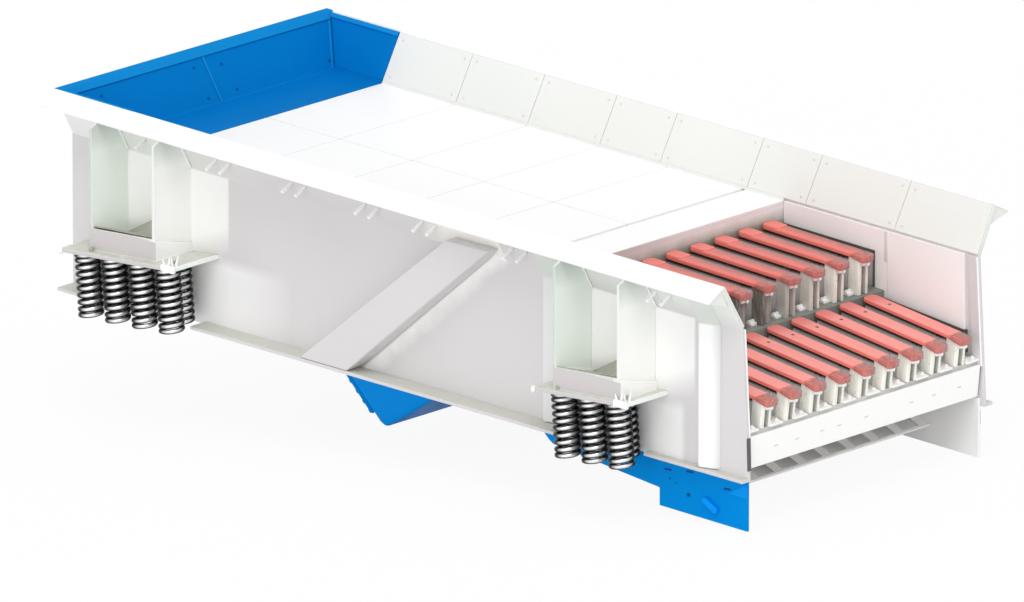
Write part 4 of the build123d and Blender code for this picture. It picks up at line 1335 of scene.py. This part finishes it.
def floor_finish():
    """A studio sweep: nearly white to the camera and in reflections, and it keeps the shadow."""
    shader, at = fresh_material("floor")
    feed(shader.inputs["Base Color"], blended(noise(at, 2.0, 3.0), (0.93, 0.93, 0.93), (0.95, 0.95, 0.95)))
    shader.inputs["Roughness"].default_value = 0.9
    shader.inputs["Specular IOR Level"].default_value = 0.0
    mix_seen(at.tree, "Material Output", shader, add_node(at.tree, "Emission", {"Color": WHITE}), FLOOR_GLOW)


class FEEDER_OT_stage(Operator):
    """Set the floor, the light and the camera"""
    bl_idname = "feeder.stage"
    bl_label = "Stage"

    def execute(self, context):
        scene = context.scene
        stage = scene.feeder_stage
        scene.view_settings.view_transform = "Standard"
        bpy.ops.mesh.primitive_grid_add(x_subdivisions=8, y_subdivisions=8, size=60.0, location=FLOOR_PLACE)
        floor = bpy.context.object
        floor.name = "studio_floor"
        floor_finish()
        coloured(floor, "floor")

        scene.world = bpy.data.worlds.new("studio")
        scene.world.use_nodes = True
        tree = scene.world.node_tree
        sky = tree.nodes["Background"]
        feed(sky.inputs["Color"], WHITE)
        feed(sky.inputs["Strength"], stage.sky)
        mix_seen(tree, "World Output", sky, add_node(tree, "Background", {"Color": WHITE, "Strength": 1.0}))

        for name, energy, towards in (("soft_sun", stage.sun, SUN_FROM), ("soft_fill", stage.fill, FILL_FROM)):
            bpy.ops.object.light_add(type="SUN", location=(2, -2, 6))
            lamp = bpy.context.object
            lamp.name = name
            lamp.data.energy = energy
            lamp.data.angle = stage.sun_spread
            lamp.rotation_mode = "QUATERNION"
            lamp.rotation_quaternion = Vector(towards).to_track_quat("Z", "Y")

        level = cos(CAMERA_RISE)
        back = Vector((level * cos(CAMERA_TURN), -level * sin(CAMERA_TURN), sin(CAMERA_RISE)))
        right = Vector((sin(CAMERA_TURN), cos(CAMERA_TURN), 0.0))
        up = back.cross(right)
        eye = CAMERA_AIM + back * CAMERA_AWAY + right * CAMERA_RIGHT + up * CAMERA_UP
        camera_data = bpy.data.cameras.new("camera")
        camera_data.lens = stage.lens
        camera_data.sensor_width = 36.0
        camera_data.clip_end = 400.0
        camera = bpy.data.objects.new("camera", camera_data)
        scene.collection.objects.link(camera)
        camera.matrix_world = PAN @ Matrix.Translation(eye) @ Matrix((right, up, back)).transposed().to_4x4()
        scene.camera = camera
        return {"FINISHED"}


class FEEDER_PT_panel(Panel):
    """The feeder's pieces and their sizes"""
    bl_label = "Grizzly feeder"
    bl_idname = "FEEDER_PT_panel"
    bl_space_type = "VIEW_3D"
    bl_region_type = "UI"
    bl_category = "Feeder"

    def draw(self, context):
        layout = self.layout
        for group in SETTINGS:
            box = layout.box()
            settings = getattr(context.scene, group)
            for name in settings.__annotations__:
                box.prop(settings, name)
        for step in STEPS:
            layout.operator(step.bl_idname)


STEPS = (FEEDER_OT_finishes, FEEDER_OT_plates, FEEDER_OT_rear_walls, FEEDER_OT_fasteners, FEEDER_OT_brackets,
         FEEDER_OT_springs, FEEDER_OT_bars, FEEDER_OT_discharge, FEEDER_OT_drive, FEEDER_OT_stage)
CLASSES = (*SETTINGS.values(), *STEPS, FEEDER_PT_panel)


def register():
    for made in CLASSES:
        bpy.utils.register_class(made)
    for name, group in SETTINGS.items():
        setattr(bpy.types.Scene, name, PointerProperty(type=group))


def unregister():
    for name in SETTINGS:
        delattr(bpy.types.Scene, name)
    for made in reversed(CLASSES):
        bpy.utils.unregister_class(made)


def main():
    register()
    for step in STEPS:
        area, name = step.bl_idname.split(".")
        if getattr(getattr(bpy.ops, area), name)() != {"FINISHED"}:
            raise RuntimeError("%s did not finish" % step.bl_label)


if __name__ == "__main__":
    main()
